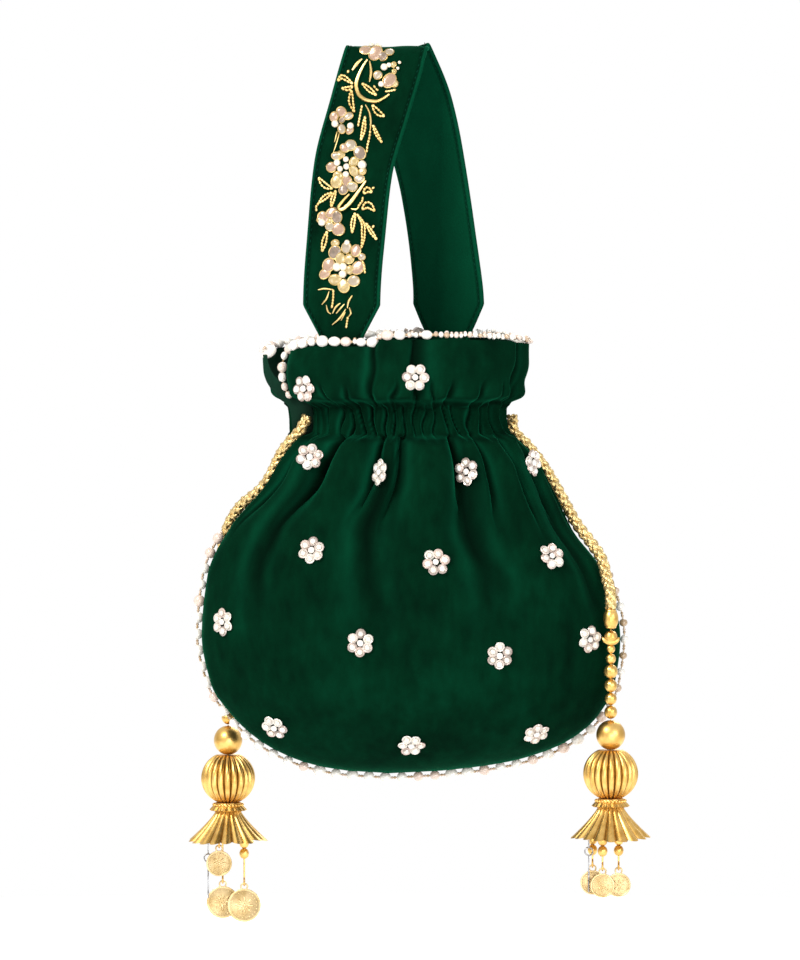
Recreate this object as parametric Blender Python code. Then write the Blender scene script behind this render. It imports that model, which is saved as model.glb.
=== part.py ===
"""A velvet potli bag with a folded strap handle, pearl edging and two gold tassels.

The bag hangs by its strap. The origin is the underside of the strap's top fold, +Z is up and the
front of the bag faces -Y. Run it in Blender 4.5, as a script or from the text editor.
"""

import math

import bmesh
import bpy
from mathutils import Matrix, Vector

MM = 0.001

# Clearances between pieces that touch on the real bag.
SEAT = 0.3 * MM
CORD_CLEARANCE = 0.9 * MM

# Heights of the bag below the top fold of the strap.
RIM_Z = -149.0 * MM
CASING_TOP_Z = -184.0 * MM
CASING_BOTTOM_Z = -198.0 * MM
SHOULDER_Z = -222.0 * MM
BELLY_Z = -303.0 * MM
BOTTOM_Z = -375.0 * MM

# Half depth, front to back, of each panel at the same heights.
RIM_DEPTH = 30.0 * MM
RUFFLE_DEPTH = 33.0 * MM
CASING_DEPTH = 24.0 * MM
SHOULDER_DEPTH = 38.0 * MM
BELLY_DEPTH = 50.0 * MM

# Places of the side edges, left and right of the top fold.
RUFFLE_LEFT_FRONT = -54.0 * MM
RUFFLE_LEFT_BACK = -66.0 * MM
RUFFLE_RIGHT_FRONT = 71.0 * MM
RUFFLE_RIGHT_BACK = 66.0 * MM
CASING_LEFT_FRONT = -39.0 * MM
CASING_LEFT_BACK = -51.0 * MM
CASING_RIGHT = 60.0 * MM
BELLY_LEFT = -98.0 * MM
BELLY_RIGHT = 119.6 * MM

# The lined velvet wall and its gathers.
WALL = 2.2 * MM
PANEL_COLUMNS = 40
LINING_COLUMNS = 14
CASING_GATHERS = 9
CASING_GATHER_DEPTH = 2.6 * MM
SHOULDER_FOLDS = 5
SHOULDER_FOLD_DEPTH = 3.4 * MM
RUFFLE_FOLDS = 4
RUFFLE_FOLD_DEPTH = 1.9 * MM
PANEL_FULLNESS = 0.86

# How far the rim drops towards each side seam.
FRONT_RIM_DIPS = (7.0 * MM, 3.0 * MM)
BACK_RIM_DIPS = (9.0 * MM, 3.0 * MM)

# Pearl edging.
SEAM_PEARL = 5.8 * MM
SEAM_PEARL_PITCH = 9.4 * MM
SEAM_THREAD = 1.5 * MM
SEAM_PEARLS_LEFT_Z = -254.0 * MM
SEAM_PEARLS_RIGHT_Z = -268.0 * MM
RIM_PEARL = 4.8 * MM
RIM_PEARL_PITCH = 7.2 * MM
RIM_THREAD = 1.3 * MM
SLIT_END_Z = -177.0 * MM

# Strap handle.
STRAP_WIDTH = 42.0 * MM
STRAP_THICKNESS = 2.6 * MM
STRAP_EDGE_ROUND = 0.7 * MM
STRAP_FOLD_RADIUS = 8.0 * MM
STRAP_POINT_START_Z = -131.0 * MM
STRAP_END_Z = -164.0 * MM
STRAP_NECK_WIDTH = 25.0 * MM
STRAP_TIP_WIDTH = 13.0 * MM
STRAP_SEAT = 0.5 * MM
FRONT_LIMB_X = -25.0 * MM
BACK_LIMB_X = 30.5 * MM
FRONT_LIMB_TURN = math.radians(-18)
BACK_LIMB_TURN = math.radians(-12)

# Bead flowers sewn on the panels.
BOOTI_RADIUS = 7.2 * MM
BOOTI_HEIGHT = 3.0 * MM
BOOTI_PETALS = 6

# Drawstring tails.
CORD_DIAMETER = 6.4 * MM
CORD_POINTS = 30

# Tassels. The heights are measured down from the end of the cord.
CORD_BEAD_WIDTH = 7.8 * MM
CORD_BEAD_HEIGHT = 10.4 * MM
TASSEL_BALL = 15.0 * MM
MELON_WIDTH = 28.6 * MM
MELON_HEIGHT = 24.4 * MM
MELON_RIBS = 18
MELON_RIB_DEPTH = 1.3 * MM
COLLAR_WIDTH = 19.8 * MM
COLLAR_HEIGHT = 4.6 * MM
SKIRT_TOP_WIDTH = 13.5 * MM
SKIRT_HEM_WIDTH = 42.0 * MM
SKIRT_HEIGHT = 15.5 * MM
SKIRT_PLEATS = 18
SKIRT_PLEAT_DEPTH = 1.6 * MM
SKIRT_WALL = 0.9 * MM
CORE_WIDTH = 1.2 * MM
CORE_FOOT_WIDTH = 25.0 * MM
CORE_FOOT_HEIGHT = 1.0 * MM
CORE_FOOT_LIFT = 3.0 * MM
BORE_CLEARANCE = 0.3 * MM
STRING_THREAD = 1.6 * MM
STRING_SLACK = 0.9 * MM
STRING_CAP_WIDTH = 10.4 * MM
STRING_CAP_HEIGHT = 7.3 * MM
STRING_BEADS = [4.4 * MM, 5.2 * MM, 7.3 * MM, 6.8 * MM, 6.3 * MM, 6.8 * MM]
WIRE = 0.9 * MM
EYE_RADIUS = 2.1 * MM
CHARM_BEAD = 5.4 * MM
COIN_THICKNESS = 0.8 * MM
COIN_LUG = 3.0 * MM
COIN_HOLE = 2.6 * MM
PIN_LENGTH = 19.0 * MM

# Colours as red, green, blue, with metallic and roughness.
VELVET = ((0.005, 0.050, 0.026), 0.0, 0.85)
PEARL = ((0.78, 0.72, 0.64), 0.0, 0.28)
SILVER_BEAD = ((0.62, 0.55, 0.50), 0.25, 0.35)
GOLD = ((0.72, 0.47, 0.14), 1.0, 0.30)
ZARI = ((0.60, 0.42, 0.14), 0.9, 0.45)
SHELL = ((0.45, 0.36, 0.30), 0.35, 0.35)
COIN_BRASS = ((0.78, 0.58, 0.28), 0.9, 0.40)
STEEL = ((0.35, 0.35, 0.36), 1.0, 0.30)


def between(top, bottom, share):
    return top + (bottom - top) * share


# The side seams: height, left edge, right edge, half depth. Both panels share them from the shoulder down.
BODY_STATIONS = [
    (SHOULDER_Z, BELLY_LEFT * 0.60, BELLY_RIGHT * 0.665, SHOULDER_DEPTH),
    (between(SHOULDER_Z, BELLY_Z, 0.31), BELLY_LEFT * 0.85, BELLY_RIGHT * 0.785, BELLY_DEPTH * 0.90),
    (between(SHOULDER_Z, BELLY_Z, 0.62), BELLY_LEFT * 0.97, BELLY_RIGHT * 0.937, BELLY_DEPTH * 0.98),
    (BELLY_Z, BELLY_LEFT, BELLY_RIGHT, BELLY_DEPTH),
    (between(BELLY_Z, BOTTOM_Z, 0.35), BELLY_LEFT * 0.945, BELLY_RIGHT * 0.975, BELLY_DEPTH * 0.92),
    (between(BELLY_Z, BOTTOM_Z, 0.57), BELLY_LEFT * 0.837, BELLY_RIGHT * 0.907, BELLY_DEPTH * 0.77),
    (between(BELLY_Z, BOTTOM_Z, 0.75), BELLY_LEFT * 0.70, BELLY_RIGHT * 0.786, BELLY_DEPTH * 0.58),
    (between(BELLY_Z, BOTTOM_Z, 0.89), BELLY_LEFT * 0.51, BELLY_RIGHT * 0.577, BELLY_DEPTH * 0.38),
    (between(BELLY_Z, BOTTOM_Z, 0.972), BELLY_LEFT * 0.275, BELLY_RIGHT * 0.276, BELLY_DEPTH * 0.18),
    (BOTTOM_Z, 0.0, 0.0, 0.0),
]
FRONT_STATIONS = [
    (RIM_Z, RUFFLE_LEFT_FRONT * 0.965, RUFFLE_RIGHT_FRONT, RIM_DEPTH),
    (between(RIM_Z, CASING_TOP_Z, 0.43), RUFFLE_LEFT_FRONT, RUFFLE_RIGHT_FRONT * 0.985, RUFFLE_DEPTH),
    (between(RIM_Z, CASING_TOP_Z, 0.77), RUFFLE_LEFT_FRONT * 0.91, RUFFLE_RIGHT_FRONT * 0.915,
     RUFFLE_DEPTH * 0.91),
    (CASING_TOP_Z, CASING_LEFT_FRONT, CASING_RIGHT * 0.985, CASING_DEPTH),
    (CASING_BOTTOM_Z, CASING_LEFT_FRONT, CASING_RIGHT, CASING_DEPTH),
    (between(CASING_BOTTOM_Z, SHOULDER_Z, 0.375), BELLY_LEFT * 0.50, BELLY_RIGHT * 0.577,
     SHOULDER_DEPTH * 0.82),
] + BODY_STATIONS
BACK_STATIONS = [
    (RIM_Z, RUFFLE_LEFT_BACK, RUFFLE_RIGHT_BACK, RIM_DEPTH),
    (between(RIM_Z, CASING_TOP_Z, 0.43), RUFFLE_LEFT_BACK * 0.98, RUFFLE_RIGHT_BACK, RUFFLE_DEPTH),
    (between(RIM_Z, CASING_TOP_Z, 0.77), RUFFLE_LEFT_BACK * 0.895, RUFFLE_RIGHT_BACK * 0.955,
     RUFFLE_DEPTH * 0.91),
    (CASING_TOP_Z, CASING_LEFT_BACK * 1.02, CASING_RIGHT * 0.97, CASING_DEPTH),
    (CASING_BOTTOM_Z, CASING_LEFT_BACK, CASING_RIGHT, CASING_DEPTH),
    (between(CASING_BOTTOM_Z, SHOULDER_Z, 0.375), BELLY_LEFT * 0.535, BELLY_RIGHT * 0.577,
     SHOULDER_DEPTH * 0.82),
] + BODY_STATIONS

# Rows of the outer wall and of the lining, from the rim to the bottom.
PANEL_ROWS = [
    RIM_Z, between(RIM_Z, CASING_TOP_Z, 0.23), between(RIM_Z, CASING_TOP_Z, 0.49),
    between(RIM_Z, CASING_TOP_Z, 0.74), between(RIM_Z, CASING_TOP_Z, 0.90), CASING_TOP_Z,
    (CASING_TOP_Z + CASING_BOTTOM_Z) / 2, CASING_BOTTOM_Z, between(CASING_BOTTOM_Z, SHOULDER_Z, 0.30),
    between(CASING_BOTTOM_Z, SHOULDER_Z, 0.62), SHOULDER_Z, between(SHOULDER_Z, BELLY_Z, 0.20),
    between(SHOULDER_Z, BELLY_Z, 0.44), between(SHOULDER_Z, BELLY_Z, 0.72), BELLY_Z,
    between(BELLY_Z, BOTTOM_Z, 0.33), between(BELLY_Z, BOTTOM_Z, 0.58), between(BELLY_Z, BOTTOM_Z, 0.77),
    between(BELLY_Z, BOTTOM_Z, 0.90), between(BELLY_Z, BOTTOM_Z, 0.972), BOTTOM_Z,
]
LINING_ROWS = [
    RIM_Z, between(RIM_Z, CASING_TOP_Z, 0.49), between(RIM_Z, CASING_TOP_Z, 0.77), CASING_TOP_Z,
    CASING_BOTTOM_Z, between(CASING_BOTTOM_Z, SHOULDER_Z, 0.50), between(SHOULDER_Z, BELLY_Z, 0.10),
    between(SHOULDER_Z, BELLY_Z, 0.44), BELLY_Z, between(BELLY_Z, BOTTOM_Z, 0.52),
    between(BELLY_Z, BOTTOM_Z, 0.79), between(BELLY_Z, BOTTOM_Z, 0.93), BOTTOM_Z,
]

# Places of the bead flowers on the front: across, from -1 at the left seam to 1 at the right, and down,
# from 0 at the rim to 1 at the bottom.
FRONT_BOOTI_PLACES = [
    (-0.861, 0.102), (0.084, 0.077), (-0.834, 0.270), (-0.197, 0.302), (0.448, 0.302),
    (0.940, 0.282), (-0.485, 0.475), (0.166, 0.500), (0.762, 0.496), (-0.885, 0.643),
    (-0.238, 0.684), (0.417, 0.714), (0.840, 0.682), (-0.793, 0.882), (-0.022, 0.919),
    (0.700, 0.894),
]

# Charms under each skirt: across, front to back, beads, wire below the beads, coin width.
RIGHT_CHARMS = [
    (-9.2, 3.2, 2, 2.0, 12.5), (-4.2, -3.2, 2, 3.0, 12.5), (4.2, 0.0, 2, 3.0, 12.5),
]
LEFT_CHARMS = [
    (-4.7, -3.6, 0, 0.5, 13.5), (-3.0, 3.4, 0, 20.0, 17.0), (8.4, 0.0, 2, 10.0, 17.6),
]
RIGHT_PIN = (-11.2, -0.2, 8.0)
LEFT_PIN = (-10.6, 0.4, 10.0)

# Embroidery on the front limb: down from the top fold, across from the band's middle, size.
STRAP_FLOWERS = [
    ("strap_flower_top", -4.5, 2.0, 5.4, 6), ("strap_flower_upper", -14.5, 8.6, 5.0, 5),
    ("strap_small_flower_upper", -38.5, -9.8, 6.0, 5), ("strap_flower_middle", -60.5, -1.6, 10.6, 8),
    ("strap_small_flower_lower", -88.0, -5.4, 6.2, 6), ("strap_flower_lower", -110.3, 0.4, 11.4, 8),
]
STRAP_FLOWER_HEIGHT = 2.6 * MM
LEAF_WIDTH = 2.4 * MM
CRESCENT_LEAF = [(-15.0, -7.0), (-18.5, -6.6), (-21.5, -4.0), (-22.8, 0.0), (-22.2, 3.4), (-20.8, 5.2)]
LEAF_PAIR = [(-82.0, -1.6), (-79.0, -0.6), (-76.0, -0.4), (-73.8, 0.6), (-76.4, 3.4), (-74.4, 6.0), (-72.4, 8.6)]

# Routes of the two drawstring tails: the share across a panel and the height of each point that lies
# on the cloth. The left one crosses the side slit first, and both end hanging straight down.
LEFT_CORD_SLIT = [(-43.0, -189.0), (-46.5, -196.0), (-53.0, -203.0)]
LEFT_CORD_ROUTE = [
    (0.0, -212.0), (0.005, -220.0), (0.03, -229.0), (0.075, -239.0), (0.11, -251.0), (0.13, -263.0),
    (0.138, -273.0),
]
LEFT_CORD_END = [(-85.3, -284.0), (-85.3, -295.0)]
RIGHT_CORD_SLIT = [(63.5, -189.0)]
RIGHT_CORD_ROUTE = [
    (1.0, -196.0), (1.0, -205.0), (1.0, -215.0), (1.0, -226.0), (1.0, -237.0), (0.985, -247.0),
    (0.96, -256.0), (0.925, -265.0), (0.905, -273.0),
]
RIGHT_CORD_END = [(114.0, -281.0), (114.0, -287.0)]


def reset_scene():
    for obj in list(bpy.data.objects):
        bpy.data.objects.remove(obj, do_unlink=True)
    for name in ("potli_bag", "guides"):
        old = bpy.data.collections.get(name)
        if old is not None:
            bpy.data.collections.remove(old)
    parts = bpy.data.collections.new("potli_bag")
    bpy.context.scene.collection.children.link(parts)
    return parts


def make_material(name, finish):
    colour, metallic, roughness = finish
    material = bpy.data.materials.new(name)
    material.use_nodes = True
    shader = material.node_tree.nodes["Principled BSDF"]
    shader.inputs["Base Color"].default_value = (*colour, 1.0)
    shader.inputs["Metallic"].default_value = metallic
    shader.inputs["Roughness"].default_value = roughness
    return material


def add_mesh(parts, name, bm, finish, parent=None):
    """Turn a bmesh into a named object with its own material."""
    bmesh.ops.remove_doubles(bm, verts=bm.verts, dist=0.00001)
    bmesh.ops.recalc_face_normals(bm, faces=bm.faces)
    mesh = bpy.data.meshes.new(name)
    bm.to_mesh(mesh)
    bm.free()
    mesh.materials.append(make_material(name, finish))
    obj = bpy.data.objects.new(name, mesh)
    parts.objects.link(obj)
    if parent is not None:
        obj.parent = parent
        obj.matrix_parent_inverse = Matrix.Translation(-parent.location)
    mesh.shade_smooth()
    mesh.set_sharp_from_angle(angle=math.radians(50))
    return obj


def add_tube(parts, name, points, diameter, finish, radii=None, roundness=2, parent=None):
    """A round tube along a polyline. With radii it swells and narrows, as beads on a thread do."""
    curve = bpy.data.curves.new(name, "CURVE")
    curve.dimensions = "3D"
    curve.bevel_depth = diameter / 2
    curve.bevel_resolution = roundness
    curve.use_fill_caps = True
    curve.render_resolution_u = 0
    spline = curve.splines.new("POLY")
    spline.points.add(len(points) - 1)
    for index, point in enumerate(points):
        spline.points[index].co = (*point, 1.0)
        if radii is not None:
            spline.points[index].radius = radii[index] / (diameter / 2)
    curve.materials.append(make_material(name, finish))
    obj = bpy.data.objects.new(name, curve)
    parts.objects.link(obj)
    if parent is not None:
        obj.parent = parent
        obj.matrix_parent_inverse = Matrix.Translation(-parent.location)
    return obj


def add_pivot(parts, name, place, parent=None):
    """An empty on a joint's axis. The pieces that move with it are its children."""
    pivot = bpy.data.objects.new(name, None)
    pivot.empty_display_size = 5 * MM
    pivot.location = place
    parts.objects.link(pivot)
    if parent is not None:
        pivot.parent = parent
        pivot.matrix_parent_inverse = Matrix.Translation(-parent.matrix_world.translation)
    bpy.context.view_layer.update()
    return pivot


def smooth_between(knots, values, at):
    """A cubic curve through the values at the knots, level where they turn, read at one place."""
    count = len(knots)
    if at <= knots[0]:
        return values[0]
    if at >= knots[-1]:
        return values[-1]
    index = max(i for i in range(count - 1) if knots[i] <= at)
    step = knots[index + 1] - knots[index]
    rise = (values[index + 1] - values[index]) / step

    def slope(i):
        if i == 0 or i == count - 1:
            return (values[min(i + 1, count - 1)] - values[max(i - 1, 0)]) / (
                knots[min(i + 1, count - 1)] - knots[max(i - 1, 0)])
        before = (values[i] - values[i - 1]) / (knots[i] - knots[i - 1])
        after = (values[i + 1] - values[i]) / (knots[i + 1] - knots[i])
        if before * after <= 0:
            return 0.0
        return 2 * before * after / (before + after)

    t = (at - knots[index]) / step
    start = slope(index) * step
    end = slope(index + 1) * step
    change = rise * step
    return (values[index] + start * t + (3 * change - 2 * start - end) * t * t
            + (start + end - 2 * change) * t * t * t)


def route_curve(points, count):
    """A smooth curve through the route points, read at evenly spread places."""
    lengths = [0.0]
    for a, b in zip(points, points[1:]):
        lengths.append(lengths[-1] + (Vector(b) - Vector(a)).length)
    route = []
    for step in range(count):
        at = lengths[-1] * step / (count - 1)
        route.append(Vector([smooth_between(lengths, [p[axis] for p in points], at) for axis in range(3)]))
    return route


def ease(value):
    value = min(max(value, 0.0), 1.0)
    return value * value * (3 - 2 * value)


class Panel:
    """One half of the bag: the lined velvet from rim to bottom, gathered at the casing."""

    def __init__(self, side, stations, dips):
        self.side = side
        self.dips = dips
        self.knots = [-station[0] for station in stations]
        self.left = [station[1] for station in stations]
        self.right = [station[2] for station in stations]
        self.depth = [station[3] for station in stations]

    def section(self, z):
        left = smooth_between(self.knots, self.left, -z)
        right = smooth_between(self.knots, self.right, -z)
        return (left + right) / 2, (right - left) / 2, smooth_between(self.knots, self.depth, -z)

    def gather_depths(self, z):
        """How deep the ruffle folds, casing gathers and shoulder folds are at a height."""
        ruffle = RUFFLE_FOLD_DEPTH * ease((z - CASING_TOP_Z) / (12 * MM))
        above = ease((CASING_TOP_Z + 8 * MM - z) / (10 * MM))
        below = ease((z - SHOULDER_Z) / (CASING_BOTTOM_Z - SHOULDER_Z))
        casing = CASING_GATHER_DEPTH * above * below
        start = ease((CASING_TOP_Z - z) / (14 * MM))
        fade = ease((z - BELLY_Z) / (SHOULDER_Z - BELLY_Z))
        return ruffle, casing, SHOULDER_FOLD_DEPTH * start * fade

    def gather(self, across, z):
        """The wall's outward ripple, with across from 0 at the left seam to 1 at the right."""
        ruffle, casing, shoulder = self.gather_depths(z)
        drift = 0.018 * math.sin(5.1 * across * math.pi + 0.7)
        edge = ease(across / 0.08) * ease((1 - across) / 0.08)
        wave = ruffle * math.cos(2 * math.pi * RUFFLE_FOLDS * (across + 2 * drift) + 0.9)
        wave += casing * math.cos(2 * math.pi * CASING_GATHERS * (across + drift))
        wave += shoulder * math.cos(2 * math.pi * SHOULDER_FOLDS * (across + drift) + 2.4)
        return edge * wave

    def gather_room(self, z):
        return sum(self.gather_depths(z))

    def rim_drop(self, across, z):
        left_dip, right_dip = self.dips
        dip = left_dip * (1 - across) ** 2 + right_dip * across ** 2
        return dip * ease((z - CASING_TOP_Z) / (RIM_Z - CASING_TOP_Z))

    def point(self, across, z, lining=False):
        centre, half, depth = self.section(z)
        angle = math.pi * across
        height = z - self.rim_drop(across, z)
        if lining:
            room = WALL + self.gather_room(z)
            half -= room * min(1.0, half / (20 * MM))
            depth -= room * min(1.0, depth / (12 * MM))
            height += WALL * 1.6 * ease((SHOULDER_Z - z) / (SHOULDER_Z - BOTTOM_Z))
        else:
            ripple = self.gather(across, z)
            half += ripple
            depth += ripple
        return Vector((
            centre - half * math.cos(angle),
            self.side * (depth * math.sin(angle) ** PANEL_FULLNESS + SEAT / 2),
            height,
        ))

    def across_at(self, x, z):
        """The place along a row where the outer wall passes a given x."""
        low, high = 0.0, 1.0
        for _ in range(30):
            middle = (low + high) / 2
            if self.point(middle, z).x < x:
                low = middle
            else:
                high = middle
        return (low + high) / 2

    def surface(self, x, z):
        return self.point(self.across_at(x, z), z)

    def normal(self, x, z):
        step = 2 * MM
        along = self.surface(x + step, z) - self.surface(x - step, z)
        down = self.surface(x, z - step) - self.surface(x, z + step)
        normal = along.cross(down).normalized()
        if normal.y * self.side < 0:
            normal.negate()
        return normal

    def normal_at(self, across, z):
        """The outward direction at a share across, without the ripple of the gathers."""
        centre, half, depth = self.section(z)
        angle = math.pi * across
        _, above, depth_above = self.section(z + 2 * MM)
        _, below, depth_below = self.section(z - 2 * MM)
        rise = (above - below) * abs(math.cos(angle)) + (depth_above - depth_below) * math.sin(angle)
        out = Vector((-math.cos(angle) * depth, self.side * math.sin(angle) * half, 0.0)).normalized()
        out.z = -rise / (4 * MM)
        return out.normalized()

    def lining_y(self, x, z):
        centre, half, depth = self.section(z)
        room = WALL + self.gather_room(z)
        share = min(0.98, abs(x - centre) / (half - room))
        return self.side * (depth - room) * math.sqrt(1 - share * share) ** PANEL_FULLNESS


def grid_rows(bm, panel, rows, columns, lining):
    """Rows of vertices on one face of a panel. The bottom row is a single point."""
    grid = []
    for z in rows[:-1]:
        grid.append([bm.verts.new(panel.point(c / columns, z, lining)) for c in range(columns + 1)])
    bottom = bm.verts.new(panel.point(0.5, rows[-1], lining))
    for upper, lower in zip(grid, grid[1:]):
        for c in range(columns):
            bm.faces.new((upper[c], upper[c + 1], lower[c + 1], lower[c]))
    for c in range(columns):
        bm.faces.new((grid[-1][c], grid[-1][c + 1], bottom))
    return grid, bottom


def zip_edges(bm, first, second):
    """Close the strip between two edges that may have different numbers of points."""
    i = 0
    j = 0
    while i < len(first) - 1 or j < len(second) - 1:
        next_first = (i + 1) / (len(first) - 1)
        next_second = (j + 1) / (len(second) - 1)
        if j == len(second) - 1 or (i < len(first) - 1 and next_first <= next_second):
            bm.faces.new((first[i], first[i + 1], second[j]))
            i += 1
        else:
            bm.faces.new((first[i], second[j + 1], second[j]))
            j += 1


def build_panel_mesh(panel):
    bm = bmesh.new()
    outer, outer_bottom = grid_rows(bm, panel, PANEL_ROWS, PANEL_COLUMNS, False)
    inner, inner_bottom = grid_rows(bm, panel, LINING_ROWS, LINING_COLUMNS, True)
    zip_edges(bm, outer[0], inner[0])
    for column in (0, -1):
        outer_edge = [row[column] for row in outer] + [outer_bottom]
        inner_edge = [row[column] for row in inner] + [inner_bottom]
        zip_edges(bm, outer_edge, inner_edge)
    return bm


def bead_route(path, pitch, pearl, thread):
    """Points and radii of a string of pearls along a path, as many as fit at the given pitch."""
    lengths = [0.0]
    for a, b in zip(path, path[1:]):
        lengths.append(lengths[-1] + (b - a).length)
    count = max(2, round(lengths[-1] / pitch))
    pitch = lengths[-1] / count

    def at(distance):
        index = max(i for i in range(len(lengths) - 1) if lengths[i] <= distance + 1e-12)
        share = (distance - lengths[index]) / (lengths[index + 1] - lengths[index])
        return path[index].lerp(path[index + 1], min(1.0, share))

    points = [at(0.0)]
    radii = [thread / 2]
    shoulder = pearl * 0.26
    for bead in range(count):
        middle = (bead + 0.5) * pitch
        for offset in (-shoulder, shoulder):
            points.append(at(middle + offset))
            radii.append(pearl / 2 * 0.92)
        points.append(at(min((bead + 1) * pitch, lengths[-1])))
        radii.append(thread / 2)
    return points, radii


def seam_path(panel, offset):
    """The line of the side and bottom seam, moved outwards by the offset."""
    steps = 60
    heights = []
    for step in range(steps + 1):
        turn = step / steps
        heights.append(BOTTOM_Z + (SEAM_PEARLS_LEFT_Z - BOTTOM_Z) * (1 - math.sin(turn * math.pi / 2)))
    left = [panel.point(0.0, z) for z in heights]
    right = []
    for z in reversed(heights[:-1]):
        share = (z - BOTTOM_Z) / (SEAM_PEARLS_LEFT_Z - BOTTOM_Z)
        right.append(panel.point(1.0, BOTTOM_Z + share * (SEAM_PEARLS_RIGHT_Z - BOTTOM_Z)))
    line = left + right
    moved = []
    for index, point in enumerate(line):
        before = line[max(index - 1, 0)]
        after = line[min(index + 1, len(line) - 1)]
        along = (after - before).normalized()
        out = Vector((along.z, 0.0, -along.x))
        moved.append(Vector((point.x, 0.0, point.z)) + out * offset)
    return moved


def rim_path(panel, pearl):
    """Up one side of the slit, round the corner, along the rim and down the other side."""
    lift = pearl / 2 + SEAT
    corner = lift * 0.78
    y = panel.side * lift
    slit_rows = 5

    def slit(across, outwards):
        points = []
        for step in range(slit_rows + 1):
            edge = panel.point(across, SLIT_END_Z + (RIM_Z - SLIT_END_Z) * step / slit_rows)
            points.append(Vector((edge.x + outwards * lift, y, edge.z)))
        points.append(Vector((edge.x + outwards * corner, y, edge.z + corner)))
        return points

    path = slit(0.0, -1)
    rim_steps = 40
    for step in range(rim_steps + 1):
        across = step / rim_steps
        wall = (panel.point(across, RIM_Z) + panel.point(across, RIM_Z, True)) / 2
        path.append(Vector((wall.x, panel.side * max(abs(wall.y), lift), wall.z + lift)))
    path.extend(reversed(slit(1.0, 1)))
    return path


def build_pearl_edges(parts, front, back):
    path = seam_path(front, SEAM_PEARL / 2 + SEAT)
    points, radii = bead_route(path, SEAM_PEARL_PITCH, SEAM_PEARL, SEAM_THREAD)
    add_tube(parts, "seam_pearls", points, SEAM_PEARL, PEARL, radii, roundness=1)
    for name, panel in (("front_rim_pearls", front), ("back_rim_pearls", back)):
        points, radii = bead_route(rim_path(panel, RIM_PEARL), RIM_PEARL_PITCH, RIM_PEARL, RIM_THREAD)
        add_tube(parts, name, points, RIM_PEARL, PEARL, radii, roundness=1)


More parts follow.
